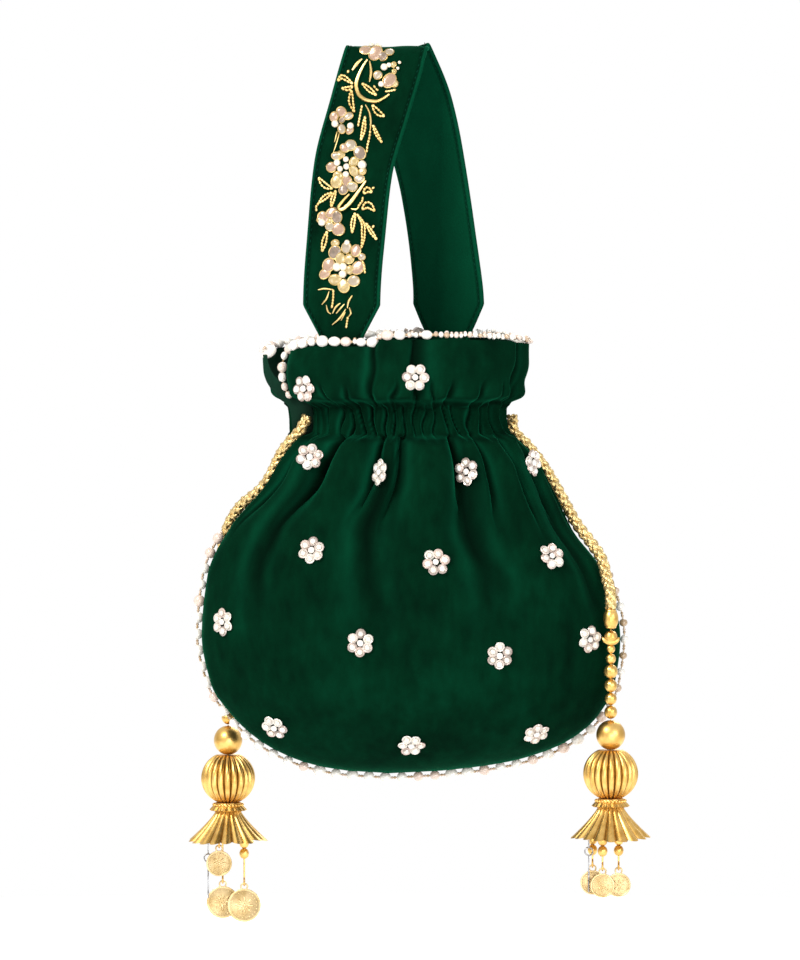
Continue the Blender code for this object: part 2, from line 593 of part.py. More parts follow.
class Strap:
    """The folded handle: a flat band whose two pointed ends are sewn inside the rims."""

    def __init__(self, front, back):
        fold = STRAP_FOLD_RADIUS + STRAP_THICKNESS / 2
        top = STRAP_THICKNESS / 2
        front_y = self.lining_seat(front, FRONT_LIMB_X, FRONT_LIMB_TURN)
        back_y = self.lining_seat(back, BACK_LIMB_X, BACK_LIMB_TURN)
        neck_z = between(STRAP_POINT_START_Z, RIM_Z, 0.85)
        limb = STRAP_POINT_START_Z - (top - fold)
        start = top - fold
        self.places = [
            Vector((FRONT_LIMB_X, front_y, STRAP_END_Z)),
            Vector((FRONT_LIMB_X, front_y, neck_z)),
            Vector((FRONT_LIMB_X, front_y, STRAP_POINT_START_Z)),
            Vector((FRONT_LIMB_X * 0.90, front_y * 0.99, start + limb * 0.70)),
            Vector((FRONT_LIMB_X * 0.76, front_y * 0.93, start + limb * 0.43)),
            Vector((FRONT_LIMB_X * 0.42, front_y * 0.74, start + limb * 0.17)),
            Vector((FRONT_LIMB_X * 0.18, -fold, start)),
            Vector((FRONT_LIMB_X * 0.10, -fold * 0.71, top - fold * 0.29)),
            Vector((-1.0 * MM, 0.0, top)),
            Vector((BACK_LIMB_X * 0.02, fold * 0.71, top - fold * 0.29)),
            Vector((BACK_LIMB_X * 0.12, fold, start)),
            Vector((BACK_LIMB_X * 0.42, back_y * 0.66, start + limb * 0.17)),
            Vector((BACK_LIMB_X * 0.70, back_y * 0.86, start + limb * 0.43)),
            Vector((BACK_LIMB_X * 0.88, back_y * 0.97, start + limb * 0.70)),
            Vector((BACK_LIMB_X, back_y, STRAP_POINT_START_Z)),
            Vector((BACK_LIMB_X, back_y, neck_z)),
            Vector((BACK_LIMB_X, back_y, STRAP_END_Z)),
        ]
        self.widths = [STRAP_TIP_WIDTH, STRAP_NECK_WIDTH] + [STRAP_WIDTH] * 13
        self.widths += [STRAP_NECK_WIDTH, STRAP_TIP_WIDTH]
        self.turns = [FRONT_LIMB_TURN] * 3 + [FRONT_LIMB_TURN * share for share in (0.9, 0.7, 0.35)]
        self.turns += [0.0] * 5
        self.turns += [BACK_LIMB_TURN * share for share in (0.8, 1.5, 1.4)] + [BACK_LIMB_TURN] * 3

    @staticmethod
    def lining_seat(panel, x, turn):
        """The band's ends lie against the lining, clear of the pearls on the rim."""
        room = []
        for z, width in ((RIM_Z, STRAP_NECK_WIDTH + 4 * MM), (STRAP_END_Z, STRAP_TIP_WIDTH)):
            for share in (-1, 0, 1):
                aside = share * width / 2
                depth = abs(panel.lining_y(x + aside, z))
                if z == RIM_Z:
                    outside = abs(panel.surface(x + aside, z).y)
                    depth = min(depth, (depth + outside) / 2 - RIM_PEARL / 2)
                room.append(depth - panel.side * aside * math.tan(turn))
        return panel.side * (min(room) - STRAP_THICKNESS / 2 - STRAP_SEAT)

    def frame(self, index):
        """The place, the direction across the band and the direction out of its face."""
        places = self.places
        before = places[max(index - 1, 0)]
        after = places[min(index + 1, len(places) - 1)]
        along = (after - before).normalized()
        across = Vector((math.cos(self.turns[index]), math.sin(self.turns[index]), 0.0))
        across = (across - along * across.dot(along)).normalized()
        return places[index], across, across.cross(along)

    def face_frame(self, z):
        """The front limb's outer face at a height: place, across, up and out."""
        index = max(i for i in range(8) if self.places[i].z <= z)
        share = (z - self.places[index].z) / (self.places[index + 1].z - self.places[index].z)
        low, across, out = self.frame(index)
        high, across_high, out_high = self.frame(index + 1)
        out = out.lerp(out_high, share).normalized()
        across = across.lerp(across_high, share).normalized()
        if out.y > 0:
            out.negate()
        up = (high - low).normalized()
        return low.lerp(high, share) + out * (STRAP_THICKNESS / 2), across, up, out

    def build(self, parts):
        bm = bmesh.new()
        loops = []
        half_thickness = STRAP_THICKNESS / 2
        edge = STRAP_EDGE_ROUND
        for index, width in enumerate(self.widths):
            place, across, out = self.frame(index)
            half = width / 2
            outline = [(-half, half_thickness - edge), (-half + edge, half_thickness),
                       (-half / 3, half_thickness), (half / 3, half_thickness),
                       (half - edge, half_thickness), (half, half_thickness - edge),
                       (half, edge - half_thickness), (half - edge, -half_thickness),
                       (half / 3, -half_thickness), (-half / 3, -half_thickness),
                       (edge - half, -half_thickness), (-half, edge - half_thickness)]
            loops.append([bm.verts.new(place + across * u + out * v) for u, v in outline])
        count = len(loops[0])
        for lower, upper in zip(loops, loops[1:]):
            for k in range(count):
                bm.faces.new((lower[k], lower[(k + 1) % count], upper[(k + 1) % count], upper[k]))
        bm.faces.new(loops[0])
        bm.faces.new(reversed(loops[-1]))
        return add_mesh(parts, "handle_strap", bm, VELVET)


def flower_mesh(radius, height, petals):
    """A flower of round petals about a raised middle bead, flat underneath."""
    bm = bmesh.new()
    notch = 0.74
    rings = []
    for share, level in ((1.0, 0.0), (0.94, 0.62)):
        ring = []
        for k in range(petals * 2):
            reach = radius * share * (1.0 if k % 2 == 0 else notch)
            angle = math.pi * k / petals
            ring.append(bm.verts.new((reach * math.cos(angle), reach * math.sin(angle), height * level)))
        rings.append(ring)
    tops = []
    for k in range(petals):
        angle = 2 * math.pi * k / petals
        reach = radius * 0.66
        tops.append(bm.verts.new((reach * math.cos(angle), reach * math.sin(angle), height * 0.95)))
    dips = []
    for k in range(petals):
        angle = 2 * math.pi * (k + 0.5) / petals
        reach = radius * 0.34
        dips.append(bm.verts.new((reach * math.cos(angle), reach * math.sin(angle), height * 0.55)))
    crown = bm.verts.new((0.0, 0.0, height))
    bm.faces.new(reversed(rings[0]))
    count = petals * 2
    for k in range(count):
        bm.faces.new((rings[0][k], rings[0][(k + 1) % count], rings[1][(k + 1) % count], rings[1][k]))
    for k in range(petals):
        outer = rings[1]
        tip = outer[2 * k]
        after = outer[2 * k + 1]
        next_tip = outer[(2 * k + 2) % count]
        next_top = tops[(k + 1) % petals]
        bm.faces.new((tip, after, tops[k]))
        bm.faces.new((after, next_tip, next_top))
        bm.faces.new((after, dips[k], tops[k]))
        bm.faces.new((after, next_top, dips[k]))
        bm.faces.new((tops[k], dips[k], crown))
        bm.faces.new((dips[k], next_top, crown))
    return bm


def seat_matrix(place, across, out):
    """Turn a flat-backed piece so that its back lies at the place and it faces out."""
    up = out.cross(across).normalized()
    across = up.cross(out).normalized()
    turn = Matrix((across, up, out)).transposed().to_4x4()
    return Matrix.Translation(place) @ turn


def booti_place(panel, x, z, radius, seat):
    """Where a flower's flat back clears every point of the cloth under it."""
    centre = panel.surface(x, z)
    out = panel.normal(x, z)
    height = 0.0
    for k in range(12):
        angle = 2 * math.pi * k / 12
        for reach in (0.5, 1.0):
            around = panel.surface(x + radius * reach * math.cos(angle), z + radius * reach * math.sin(angle))
            height = max(height, (around - centre).dot(out))
    return centre + out * (height + seat), out


def build_front_bootis(parts, front):
    for number, (across, down) in enumerate(FRONT_BOOTI_PLACES, start=1):
        z = between(RIM_Z, BOTTOM_Z, down)
        centre, half, _ = front.section(z)
        place, out = booti_place(front, centre + half * across, z, BOOTI_RADIUS, SEAT)
        bm = flower_mesh(BOOTI_RADIUS, BOOTI_HEIGHT, BOOTI_PETALS)
        bm.transform(seat_matrix(place, Vector((1.0, 0.0, 0.0)), out))
        add_mesh(parts, f"booti_flower_{number:02d}", bm, SILVER_BEAD)


def hang_depth(panel, x, top, bottom, radius):
    """How far front or back a string of this radius hangs to clear the panel."""
    depth = 0.0
    clear = radius + CORD_CLEARANCE
    for step in range(21):
        z = top + (bottom - top) * step / 20
        for share in range(121):
            point = panel.point(share / 120, z)
            aside = point.x - x
            if abs(aside) < clear:
                depth = max(depth, abs(point.y) + math.sqrt(clear * clear - aside * aside))
    return panel.side * depth


def cord_points(panel, slit, route, end, hang_y):
    """The tail's route: out of the slit, over the panel and down to where it hangs free."""
    reach = CORD_DIAMETER / 2 + CORD_CLEARANCE
    points = [Vector((x * MM, -reach, z * MM)) for x, z in slit]
    for across, z in route:
        points.append(panel.point(across, z * MM) + panel.normal_at(across, z * MM) * reach)
    points.extend(Vector((x * MM, hang_y, z * MM)) for x, z in end)
    return route_curve(points, CORD_POINTS)


def turned(profile, steps):
    """A closed solid of revolution about the vertical axis, from a profile listed top to bottom."""
    bm = bmesh.new()
    verts = [bm.verts.new((radius, 0.0, z)) for radius, z in profile]
    edges = [bm.edges.new(pair) for pair in zip(verts, verts[1:])]
    bmesh.ops.spin(bm, geom=verts + edges, cent=(0, 0, 0), axis=(0, 0, 1), angle=2 * math.pi,
                   steps=steps, use_merge=True)
    bmesh.ops.remove_doubles(bm, verts=bm.verts, dist=0.00001)
    return bm


def bead_outline(width, top, bottom, waist, rows=4):
    """A bead's outline between two narrow ends of the given width."""
    middle = (top + bottom) / 2
    half = (top - bottom) / 2
    start = math.acos(waist / width)
    profile = []
    for row in range(rows + 1):
        angle = start - 2 * start * row / rows
        profile.append((width / 2 * math.cos(angle), middle + half * math.sin(angle) / math.sin(start)))
    return profile


def bored(outline, bore):
    """Close an outline down the bore, for a bead that a core wire runs through."""
    top = outline[0][1]
    bottom = outline[-1][1]
    return [(bore, top)] + outline + [(bore, bottom), (bore, top)]


def ripple(bm, count, depth_at):
    """Press ribs or pleats into a turned solid: depth_at gives their depth at a radius and height."""
    for vert in bm.verts:
        radius = math.hypot(vert.co.x, vert.co.y)
        if radius < 0.0001:
            continue
        angle = math.atan2(vert.co.y, vert.co.x)
        depth = depth_at(radius, vert.co.z)
        scale = (radius + depth * (math.cos(count * angle) - 1) / 2) / radius
        vert.co.x *= scale
        vert.co.y *= scale


def strap_point(strap, down, across, lift):
    place, side, _, out = strap.face_frame(down * MM)
    return place + side * (across * MM) + out * lift


def flower_lift(strap, down, across, radius, out):
    """How far a flat-backed flower stands off the band's middle line to clear its curve."""
    centre = strap_point(strap, down, across, 0.0)
    lift = 0.0
    for k in range(16):
        angle = 2 * math.pi * k / 16
        for share in (0.5, 1.0):
            reach = radius * share
            around = strap_point(strap, down + reach * math.sin(angle), across + reach * math.cos(angle), 0.0)
            lift = max(lift, (around - centre).dot(out))
    return lift


def build_embroidery(parts, strap):
    """Raised flowers and wire leaves sewn on the strap's outer face."""
    for name, down, across, radius, petals in STRAP_FLOWERS:
        place, side, _, out = strap.face_frame(down * MM)
        bm = flower_mesh(radius * MM, STRAP_FLOWER_HEIGHT, petals)
        lift = SEAT + flower_lift(strap, down, across, radius, out)
        bm.transform(seat_matrix(place + side * (across * MM) + out * lift, side, out))
        add_mesh(parts, name, bm, SHELL)
    for name, route in (("strap_crescent_leaf", CRESCENT_LEAF), ("strap_leaf_pair", LEAF_PAIR)):
        lift = LEAF_WIDTH / 2 + SEAT
        points = [strap_point(strap, down, across, lift) for down, across in route]
        middle = (len(points) - 1) / 2
        if name == "strap_crescent_leaf":
            swell = [1 - abs(i - middle) / middle for i in range(len(points))]
        else:
            swell = [abs(math.sin(math.pi * abs(i - middle) / middle)) for i in range(len(points))]
        radii = [LEAF_WIDTH / 2 * (0.35 + 0.65 * share) for share in swell]
        add_tube(parts, name, points, LEAF_WIDTH, GOLD, radii, roundness=1)


class Tassel:
    """A gold tassel: a bead string, then a ball, a ribbed melon, a collar, a pleated skirt and charms."""

    def __init__(self, side, end, charms, pin):
        self.side = side
        self.end = end
        self.charms = charms
        self.pin = pin

    def place(self, bm, down):
        bm.transform(Matrix.Translation(self.end + Vector((0.0, 0.0, -down))))

    def build(self, parts):
        down = SEAT
        bm = turned(self.closed(bead_outline(CORD_BEAD_WIDTH, 0.0, -CORD_BEAD_HEIGHT, 3.0 * MM)), 10)
        self.place(bm, down)
        add_mesh(parts, f"cord_bead_{self.side}", bm, GOLD)
        down += CORD_BEAD_HEIGHT + STRING_SLACK
        string_pivot = add_pivot(parts, f"{self.side}_string_pivot", self.end - Vector((0, 0, down)))
        down += self.build_string(parts, down, string_pivot) + STRING_SLACK
        head_pivot = add_pivot(parts, f"{self.side}_head_pivot", self.end - Vector((0, 0, down)), string_pivot)
        self.build_head(parts, down, head_pivot)

    @staticmethod
    def closed(outline):
        return [(0.0, outline[0][1])] + outline + [(0.0, outline[-1][1])]

    def build_string(self, parts, down, pivot):
        """The crescent cap and the string of turned beads, which touch one another."""
        waist = STRING_THREAD
        outline = [(waist / 2, 0.0), (STRING_CAP_WIDTH * 0.40, -STRING_CAP_HEIGHT * 0.18),
                   (STRING_CAP_WIDTH / 2, -STRING_CAP_HEIGHT * 0.42),
                   (STRING_CAP_WIDTH * 0.36, -STRING_CAP_HEIGHT * 0.80)]
        level = -STRING_CAP_HEIGHT
        for width in STRING_BEADS:
            bead = bead_outline(width, level, level - width, waist, rows=3)
            outline.extend(bead)
            level -= width + SEAT
        bm = turned(self.closed(outline), 8)
        self.place(bm, down)
        add_mesh(parts, f"bead_string_{self.side}", bm, GOLD, pivot)
        return -outline[-1][1]

    def build_head(self, parts, down, pivot):
        bore = CORE_WIDTH / 2 + BORE_CLEARANCE
        end_width = 2 * bore + 2.0 * MM
        top = down
        bm = turned(bored(bead_outline(TASSEL_BALL, 0.0, -TASSEL_BALL, end_width, rows=6), bore), 14)
        self.place(bm, down)
        add_mesh(parts, f"tassel_ball_{self.side}", bm, GOLD, pivot)
        down += TASSEL_BALL + SEAT
        melon = bead_outline(MELON_WIDTH, 0.0, -MELON_HEIGHT, MELON_WIDTH * 0.46, rows=6)
        bm = turned(bored(melon, bore), MELON_RIBS * 2)
        ripple(bm, MELON_RIBS, lambda radius, z: MELON_RIB_DEPTH * min(1.0, (radius - bore) / (7 * MM)))
        self.place(bm, down)
        add_mesh(parts, f"melon_bead_{self.side}", bm, GOLD, pivot)
        down += MELON_HEIGHT + SEAT
        half = COLLAR_WIDTH / 2
        collar = [(half * 0.62, 0.0), (half * 0.78, -COLLAR_HEIGHT * 0.4), (half, -COLLAR_HEIGHT * 0.8),
                  (half * 0.92, -COLLAR_HEIGHT), (half * 0.5, -COLLAR_HEIGHT)]
        bm = turned(bored(collar, bore), 24)
        ripple(bm, 12, lambda radius, z: 0.9 * MM * ease((radius - half * 0.6) / (half * 0.3)))
        self.place(bm, down)
        add_mesh(parts, f"collar_{self.side}", bm, GOLD, pivot)
        down += COLLAR_HEIGHT + SEAT
        bm = turned(self.skirt_profile(bore), SKIRT_PLEATS * 2)
        hem = SKIRT_HEM_WIDTH / 2
        neck = SKIRT_TOP_WIDTH / 2
        ripple(bm, SKIRT_PLEATS, lambda radius, z: SKIRT_PLEAT_DEPTH * 2 * ease((radius - neck) / (hem - neck)))
        self.place(bm, down)
        add_mesh(parts, f"pleated_skirt_{self.side}", bm, GOLD, pivot)
        down += SKIRT_HEIGHT
        self.build_core(parts, top, down - CORE_FOOT_LIFT, pivot)
        foot = self.end - Vector((0, 0, down - CORE_FOOT_LIFT))
        for number, charm in enumerate(self.charms, start=1):
            self.build_charm(parts, number, foot, charm, pivot)
        self.build_pin(parts, foot, pivot)

    @staticmethod
    def skirt_profile(bore):
        neck = SKIRT_TOP_WIDTH / 2
        hem = SKIRT_HEM_WIDTH / 2
        outer = []
        rows = 3
        for row in range(rows + 1):
            share = row / rows
            outer.append((neck + (hem - neck) * share ** 1.25, -SKIRT_HEIGHT * share))
        inner = [(radius - SKIRT_WALL * 0.5, z - SKIRT_WALL) for radius, z in outer[:-1]]
        inner.append((hem - SKIRT_WALL, -SKIRT_HEIGHT))
        return [(bore, 0.0)] + outer + list(reversed(inner)) + [(bore, -SKIRT_WALL), (bore, 0.0)]

    def build_core(self, parts, top, foot, pivot):
        """The wire through the head, with the foot plate that the charms hang from."""
        radius = CORE_WIDTH / 2
        length = foot - top
        flange = CORE_FOOT_WIDTH / 2
        profile = [(0.0, 0.0), (radius, 0.0), (radius, CORE_FOOT_HEIGHT - length),
                   (flange, CORE_FOOT_HEIGHT - length), (flange, -length), (0.0, -length)]
        bm = turned(profile, 12)
        self.place(bm, top)
        add_mesh(parts, f"tassel_core_{self.side}", bm, GOLD, pivot)

    def build_charm(self, parts, number, foot, charm, pivot):
        """Beads on an eye pin under the foot plate, and the coin that hangs in its eye."""
        across, depth, beads, wire, coin_width = charm
        top = foot + Vector((across * MM, depth * MM, -SEAT))
        own = add_pivot(parts, f"{self.side}_strand_pivot_{number}", top, pivot)
        points = [top]
        radii = [WIRE / 2]
        level = 1.5 * MM
        for _ in range(beads):
            for share, swell in ((0.0, 0.35), (0.25, 0.92), (0.75, 0.92), (1.0, 0.35)):
                points.append(top - Vector((0, 0, level + CHARM_BEAD * share)))
                radii.append(CHARM_BEAD / 2 * swell)
            level += CHARM_BEAD + 0.1 * MM
        level += wire * MM
        points.append(top - Vector((0, 0, level)))
        radii.append(WIRE / 2)
        eye = top - Vector((0, 0, level + EYE_RADIUS))
        for step in range(1, 10):
            angle = math.radians(90 + 36 * step)
            points.append(eye + Vector((0, math.cos(angle), math.sin(angle))) * EYE_RADIUS)
            radii.append(WIRE / 2)
        add_tube(parts, f"strand_{self.side}_{number}", points, WIRE, GOLD, radii, roundness=1, parent=own)
        hang = eye - Vector((0, 0, EYE_RADIUS))
        coin_pivot = add_pivot(parts, f"{self.side}_coin_pivot_{number}", hang, own)
        self.build_coin(parts, number, hang, coin_width * MM, coin_pivot)

    def build_coin(self, parts, number, hang, width, pivot):
        """A thin coin with a bored lug, which hangs by the top of its hole."""
        hole_centre = hang - Vector((0, 0, COIN_HOLE / 2 - WIRE / 2 - SEAT))
        centre = hole_centre - Vector((0, 0, width / 2 + COIN_LUG * 0.35))
        outline = []
        steps = 15
        open_angle = math.asin(COIN_LUG * 0.5 / (width / 2))
        for step in range(steps + 1):
            angle = math.pi / 2 + open_angle + (2 * math.pi - 2 * open_angle) * step / steps
            outline.append((width / 2 * math.cos(angle), width / 2 * math.sin(angle)))
        lug_middle = (hole_centre - centre).z
        for step in range(5):
            angle = math.radians(-20 + 220 * step / 4)
            outline.append((COIN_LUG * 0.72 * math.cos(angle), lug_middle + COIN_LUG * 0.72 * math.sin(angle)))
        hole = []
        for step in range(8):
            angle = 2 * math.pi * step / 8
            hole.append((COIN_HOLE / 2 * math.cos(angle), lug_middle + COIN_HOLE / 2 * math.sin(angle)))
        curve = bpy.data.curves.new(f"coin_{self.side}_{number}", "CURVE")
        curve.dimensions = "2D"
        curve.fill_mode = "BOTH"
        curve.extrude = COIN_THICKNESS / 2
        curve.render_resolution_u = 0
        for loop in (outline, hole):
            spline = curve.splines.new("POLY")
            spline.points.add(len(loop) - 1)
            for index, (x, y) in enumerate(loop):
                spline.points[index].co = (x, y, 0.0, 1.0)
            spline.use_cyclic_u = True
        curve.materials.append(make_material(curve.name, COIN_BRASS))
        obj = bpy.data.objects.new(curve.name, curve)
        parts.objects.link(obj)
        obj.parent = pivot
        obj.matrix_parent_inverse = Matrix.Translation(-pivot.matrix_world.translation)
        obj.location = centre
        obj.rotation_euler = (math.pi / 2, 0.0, 0.0)

    def build_pin(self, parts, foot, pivot):
        """A loose eye pin: a wire loop with a straight tail."""
        across, depth, drop = self.pin
        top = foot + Vector((across * MM, depth * MM, -SEAT))
        own = add_pivot(parts, f"{self.side}_pin_pivot", top, pivot)
        points = [top, top - Vector((0, 0, drop * MM))]
        eye = points[-1] - Vector((0, 0, EYE_RADIUS))
        for step in range(1, 6):
            angle = math.radians(90 + 36 * step)
            points.append(eye + Vector((math.cos(angle), 0, math.sin(angle))) * EYE_RADIUS)
        points.append(points[-1] - Vector((0, 0, PIN_LENGTH)))
        add_tube(parts, f"eye_pin_{self.side}", points, WIRE, STEEL, roundness=1, parent=own)


def build(parts):
    front = Panel(-1, FRONT_STATIONS, FRONT_RIM_DIPS)
    back = Panel(1, BACK_STATIONS, BACK_RIM_DIPS)
    add_mesh(parts, "front_panel", build_panel_mesh(front), VELVET)
    add_mesh(parts, "back_panel", build_panel_mesh(back), VELVET)
    build_pearl_edges(parts, front, back)
    strap = Strap(front, back)
    strap.build(parts)
    build_embroidery(parts, strap)
    build_front_bootis(parts, front)
    for side, panel, slit, route, end, charms, pin in (
        ("left", back, LEFT_CORD_SLIT, LEFT_CORD_ROUTE, LEFT_CORD_END, LEFT_CHARMS, LEFT_PIN),
        ("right", front, RIGHT_CORD_SLIT, RIGHT_CORD_ROUTE, RIGHT_CORD_END, RIGHT_CHARMS, RIGHT_PIN),
    ):
        end_x = end[-1][0] * MM
        end_z = end[-1][1] * MM
        hang_y = hang_depth(panel, end_x, end_z + 6 * MM, end_z - 60 * MM, STRING_CAP_WIDTH / 2)
        points = cord_points(panel, slit, route, end, hang_y)
        add_tube(parts, f"drawstring_{side}", points, CORD_DIAMETER, ZARI)
        Tassel(side, points[-1], charms, pin).build(parts)


build(reset_scene())
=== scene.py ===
"""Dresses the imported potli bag: gathered velvet, bead embroidery, gold cords and bead tassels."""

import logging
import math
import random
from dataclasses import dataclass, field
from enum import Enum
from typing import Callable, Optional, Sequence

import bmesh
import bpy
from mathutils import Matrix, Vector, noise


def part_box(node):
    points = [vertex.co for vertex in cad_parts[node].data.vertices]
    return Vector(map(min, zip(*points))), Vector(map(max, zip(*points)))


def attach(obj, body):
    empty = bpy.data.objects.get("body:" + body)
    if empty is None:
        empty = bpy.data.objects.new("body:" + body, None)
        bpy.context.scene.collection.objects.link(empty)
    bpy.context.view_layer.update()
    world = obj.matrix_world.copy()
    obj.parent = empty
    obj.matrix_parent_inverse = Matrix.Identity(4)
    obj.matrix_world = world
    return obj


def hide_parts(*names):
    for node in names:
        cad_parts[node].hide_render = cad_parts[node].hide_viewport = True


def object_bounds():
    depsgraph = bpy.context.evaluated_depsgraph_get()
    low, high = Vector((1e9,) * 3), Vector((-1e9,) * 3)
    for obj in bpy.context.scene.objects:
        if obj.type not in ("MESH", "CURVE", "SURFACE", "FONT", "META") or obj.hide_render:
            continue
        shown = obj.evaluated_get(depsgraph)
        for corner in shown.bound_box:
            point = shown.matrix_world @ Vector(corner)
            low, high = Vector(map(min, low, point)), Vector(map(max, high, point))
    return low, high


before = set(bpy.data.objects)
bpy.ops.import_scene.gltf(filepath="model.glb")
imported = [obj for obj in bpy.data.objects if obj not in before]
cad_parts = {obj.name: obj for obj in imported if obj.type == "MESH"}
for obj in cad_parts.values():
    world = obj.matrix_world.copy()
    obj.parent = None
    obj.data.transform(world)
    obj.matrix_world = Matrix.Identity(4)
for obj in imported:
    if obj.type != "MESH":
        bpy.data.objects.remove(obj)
CAD_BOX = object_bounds()

MM = 0.001
PIXEL = 0.52
FOLD_PIXEL = (390.0, 53.0)
log = logging.getLogger("potli_bag")

Colour = tuple[float, float, float]
Place = Callable[[float, float], Vector]


class Side(Enum):
    """The two faces of the bag, by the direction they look along Y."""

    FRONT = -1
    BACK = 1


class BeadKind(Enum):
    """What a bead of the embroidery is made of, as its tone along the shell ramp."""

    PEARL = 0.95
    PINK_SHELL = 0.30
    SILVER_SHELL = 0.55
    GOLD_SHELL = 0.78
    SMOKE_SHELL = 0.10


class SprigKind(Enum):
    """How a sprig of wire embroidery is worked."""

    BEADED = "rice beads in a row"
    LEAF = "rice beads round a leaf"
    COIL = "a smooth coil of gold wire"


# ---- finishes


class NodeSet:
    """Lays out the nodes of one material."""

    def __init__(self, name: str) -> None:
        """Start a node material of the given name."""
        self.material = bpy.data.materials.new(name)
        self.material.use_nodes = True
        self.nodes = self.material.node_tree.nodes
        self.links = self.material.node_tree.links
        self.shader = self.nodes["Principled BSDF"]
        self.where = self.nodes.new("ShaderNodeTexCoord").outputs["Object"]

    def add(self, kind: str, inputs: Optional[dict] = None, **settings: object) -> bpy.types.Node:
        """Add a node.

        Args:
            kind: The node's type name.
            inputs: Sockets to link or values to set, by socket name or number.
            settings: Properties of the node.

        Returns:
            The new node.
        """
        node = self.nodes.new(kind)
        for key, value in settings.items():
            setattr(node, key, value)
        for key, value in (inputs or {}).items():
            if isinstance(value, bpy.types.NodeSocket):
                self.links.new(value, node.inputs[key])
            else:
                node.inputs[key].default_value = value
        return node

    def noise(self, scale: float, detail: float = 3.0, stretch: Sequence[float] = (1, 1, 1)) -> bpy.types.NodeSocket:
        """Return a noise pattern of the given scale per metre, stretched along the axes."""
        mapping = self.add("ShaderNodeMapping", {"Vector": self.where, "Scale": stretch})
        made = self.add("ShaderNodeTexNoise", {"Vector": mapping.outputs[0], "Scale": scale, "Detail": detail})
        return made.outputs["Fac"]

    def attribute(self, name: str) -> bpy.types.NodeSocket:
        """Return the value of one of the mesh's attributes."""
        return self.add("ShaderNodeAttribute", attribute_name=name).outputs["Fac"]

    def ramp(self, fac: bpy.types.NodeSocket, stops: Sequence[tuple[float, Colour]]) -> bpy.types.NodeSocket:
        """Return colours spread along a ramp."""
        node = self.add("ShaderNodeValToRGB", {"Fac": fac})
        elements = node.color_ramp.elements
        while len(elements) < len(stops):
            elements.new(0.5)
        for element, (position, colour) in zip(elements, stops):
            element.position = position
            element.color = (*colour, 1.0)
        return node.outputs["Color"]

    def spread(self, fac: bpy.types.NodeSocket, low: float, high: float) -> bpy.types.NodeSocket:
        """Return a value mapped from 0 to 1 onto low to high."""
        return self.add("ShaderNodeMapRange", {"Value": fac, "To Min": low, "To Max": high}).outputs[0]

    def mix(self, fac: object, first: object, second: object, blend: str = "MIX") -> bpy.types.NodeSocket:
        """Return two colours mixed."""
        node = self.add("ShaderNodeMix", data_type="RGBA", blend_type=blend)
        for socket, value in ((node.inputs[0], fac), (node.inputs[6], first), (node.inputs[7], second)):
            if isinstance(value, bpy.types.NodeSocket):
                self.links.new(value, socket)
            else:
                socket.default_value = value if isinstance(value, float) else (*value, 1.0)
        return node.outputs[2]

    def bump(self, height: bpy.types.NodeSocket, strength: float, distance: float,
             under: Optional[bpy.types.NodeSocket] = None) -> bpy.types.NodeSocket:
        """Return a bumped normal, laid over another where one is given."""
        inputs = {"Height": height, "Strength": strength, "Distance": distance}
        if under is not None:
            inputs["Normal"] = under
        return self.add("ShaderNodeBump", inputs).outputs[0]

    def dress(self, constants: dict, links: dict) -> bpy.types.Material:
        """Set the shader's constant sockets and link the rest."""
        for key, value in constants.items():
            self.shader.inputs[key].default_value = value
        for key, socket in links.items():
            self.links.new(socket, self.shader.inputs[key])
        return self.material


@dataclass(frozen=True)
class VelvetFinish:
    """Deep bottle green velvet, brushed in patches, with painted shade in its creases and painted light on its fold
    lips and on the strap's edges and inner face.
    """

    name: str = "bottle_green_velvet"
    deep: Colour = (0.0001, 0.0034, 0.0015)
    nap: Colour = (0.0003, 0.0150, 0.0058)
    brushed: Colour = (0.0006, 0.0290, 0.0120)
    # painted highlight colour, laid on fold lips and on the strap's rolled edges and inner face
    painted_light: Colour = (0.0014, 0.0700, 0.0310)
    sheen_tint: Colour = (0.01, 0.60, 0.27)
    sheen: float = 0.22

    def material(self) -> bpy.types.Material:
        """Return the velvet's material."""
        made = NodeSet(self.name)
        patches = made.noise(26.0, 4.0)
        brushed = made.noise(160.0, 5.0, (1.0, 1.0, 0.45))
        blend = made.mix(0.45, patches, brushed)
        colour = made.ramp(blend, ((0.22, self.deep), (0.52, self.nap), (0.80, self.brushed)))
        # painted highlight: the tone attribute lightens fold lips, the strap's rolled edges and its inner face towards
        # this colour
        colour = made.mix(made.spread(made.attribute("tone"), 0.0, 0.85), colour, self.painted_light)
        # painted shade: creases, the casing's tucks and the strap's stitched grooves are darkened towards the deep
        # colour
        crease_shade = made.attribute("crease_shade")
        colour = made.mix(made.spread(crease_shade, 0.0, 0.92), colour, self.deep)
        pile = made.noise(1500.0, 2.0)
        normal = made.bump(brushed, 0.35, 0.0006)
        normal = made.bump(pile, 0.5, 0.00022, normal)
        return made.dress(
            {"Roughness": 0.95, "Specular IOR Level": 0.02, "Sheen Weight": self.sheen,
             "Sheen Roughness": 0.34, "Sheen Tint": (*self.sheen_tint, 1.0)},
            {"Base Color": colour, "Normal": normal})


@dataclass(frozen=True)
class LiningFinish:
    """Plain dark green satin inside the bag, with the light and shade of folds painted on it in stretched patches."""

    name: str = "green_satin_lining"
    dark: Colour = (0.0004, 0.0110, 0.0052)
    light: Colour = (0.0010, 0.0280, 0.0130)

    def material(self) -> bpy.types.Material:
        """Return the lining's material."""
        made = NodeSet(self.name)
        # painted light and shade of folds: a noise stretched along the height lightens and darkens the satin in
        # fold-sized bands
        folds = made.noise(60.0, 3.0, (1.0, 1.0, 0.3))
        weave = made.noise(2200.0, 1.0, (1.0, 1.0, 0.2))
        colour = made.ramp(folds, ((0.3, self.dark), (0.7, self.light)))
        return made.dress({"Roughness": 0.62, "Specular IOR Level": 0.08},
                          {"Base Color": colour, "Normal": made.bump(weave, 0.25, 0.0001)})


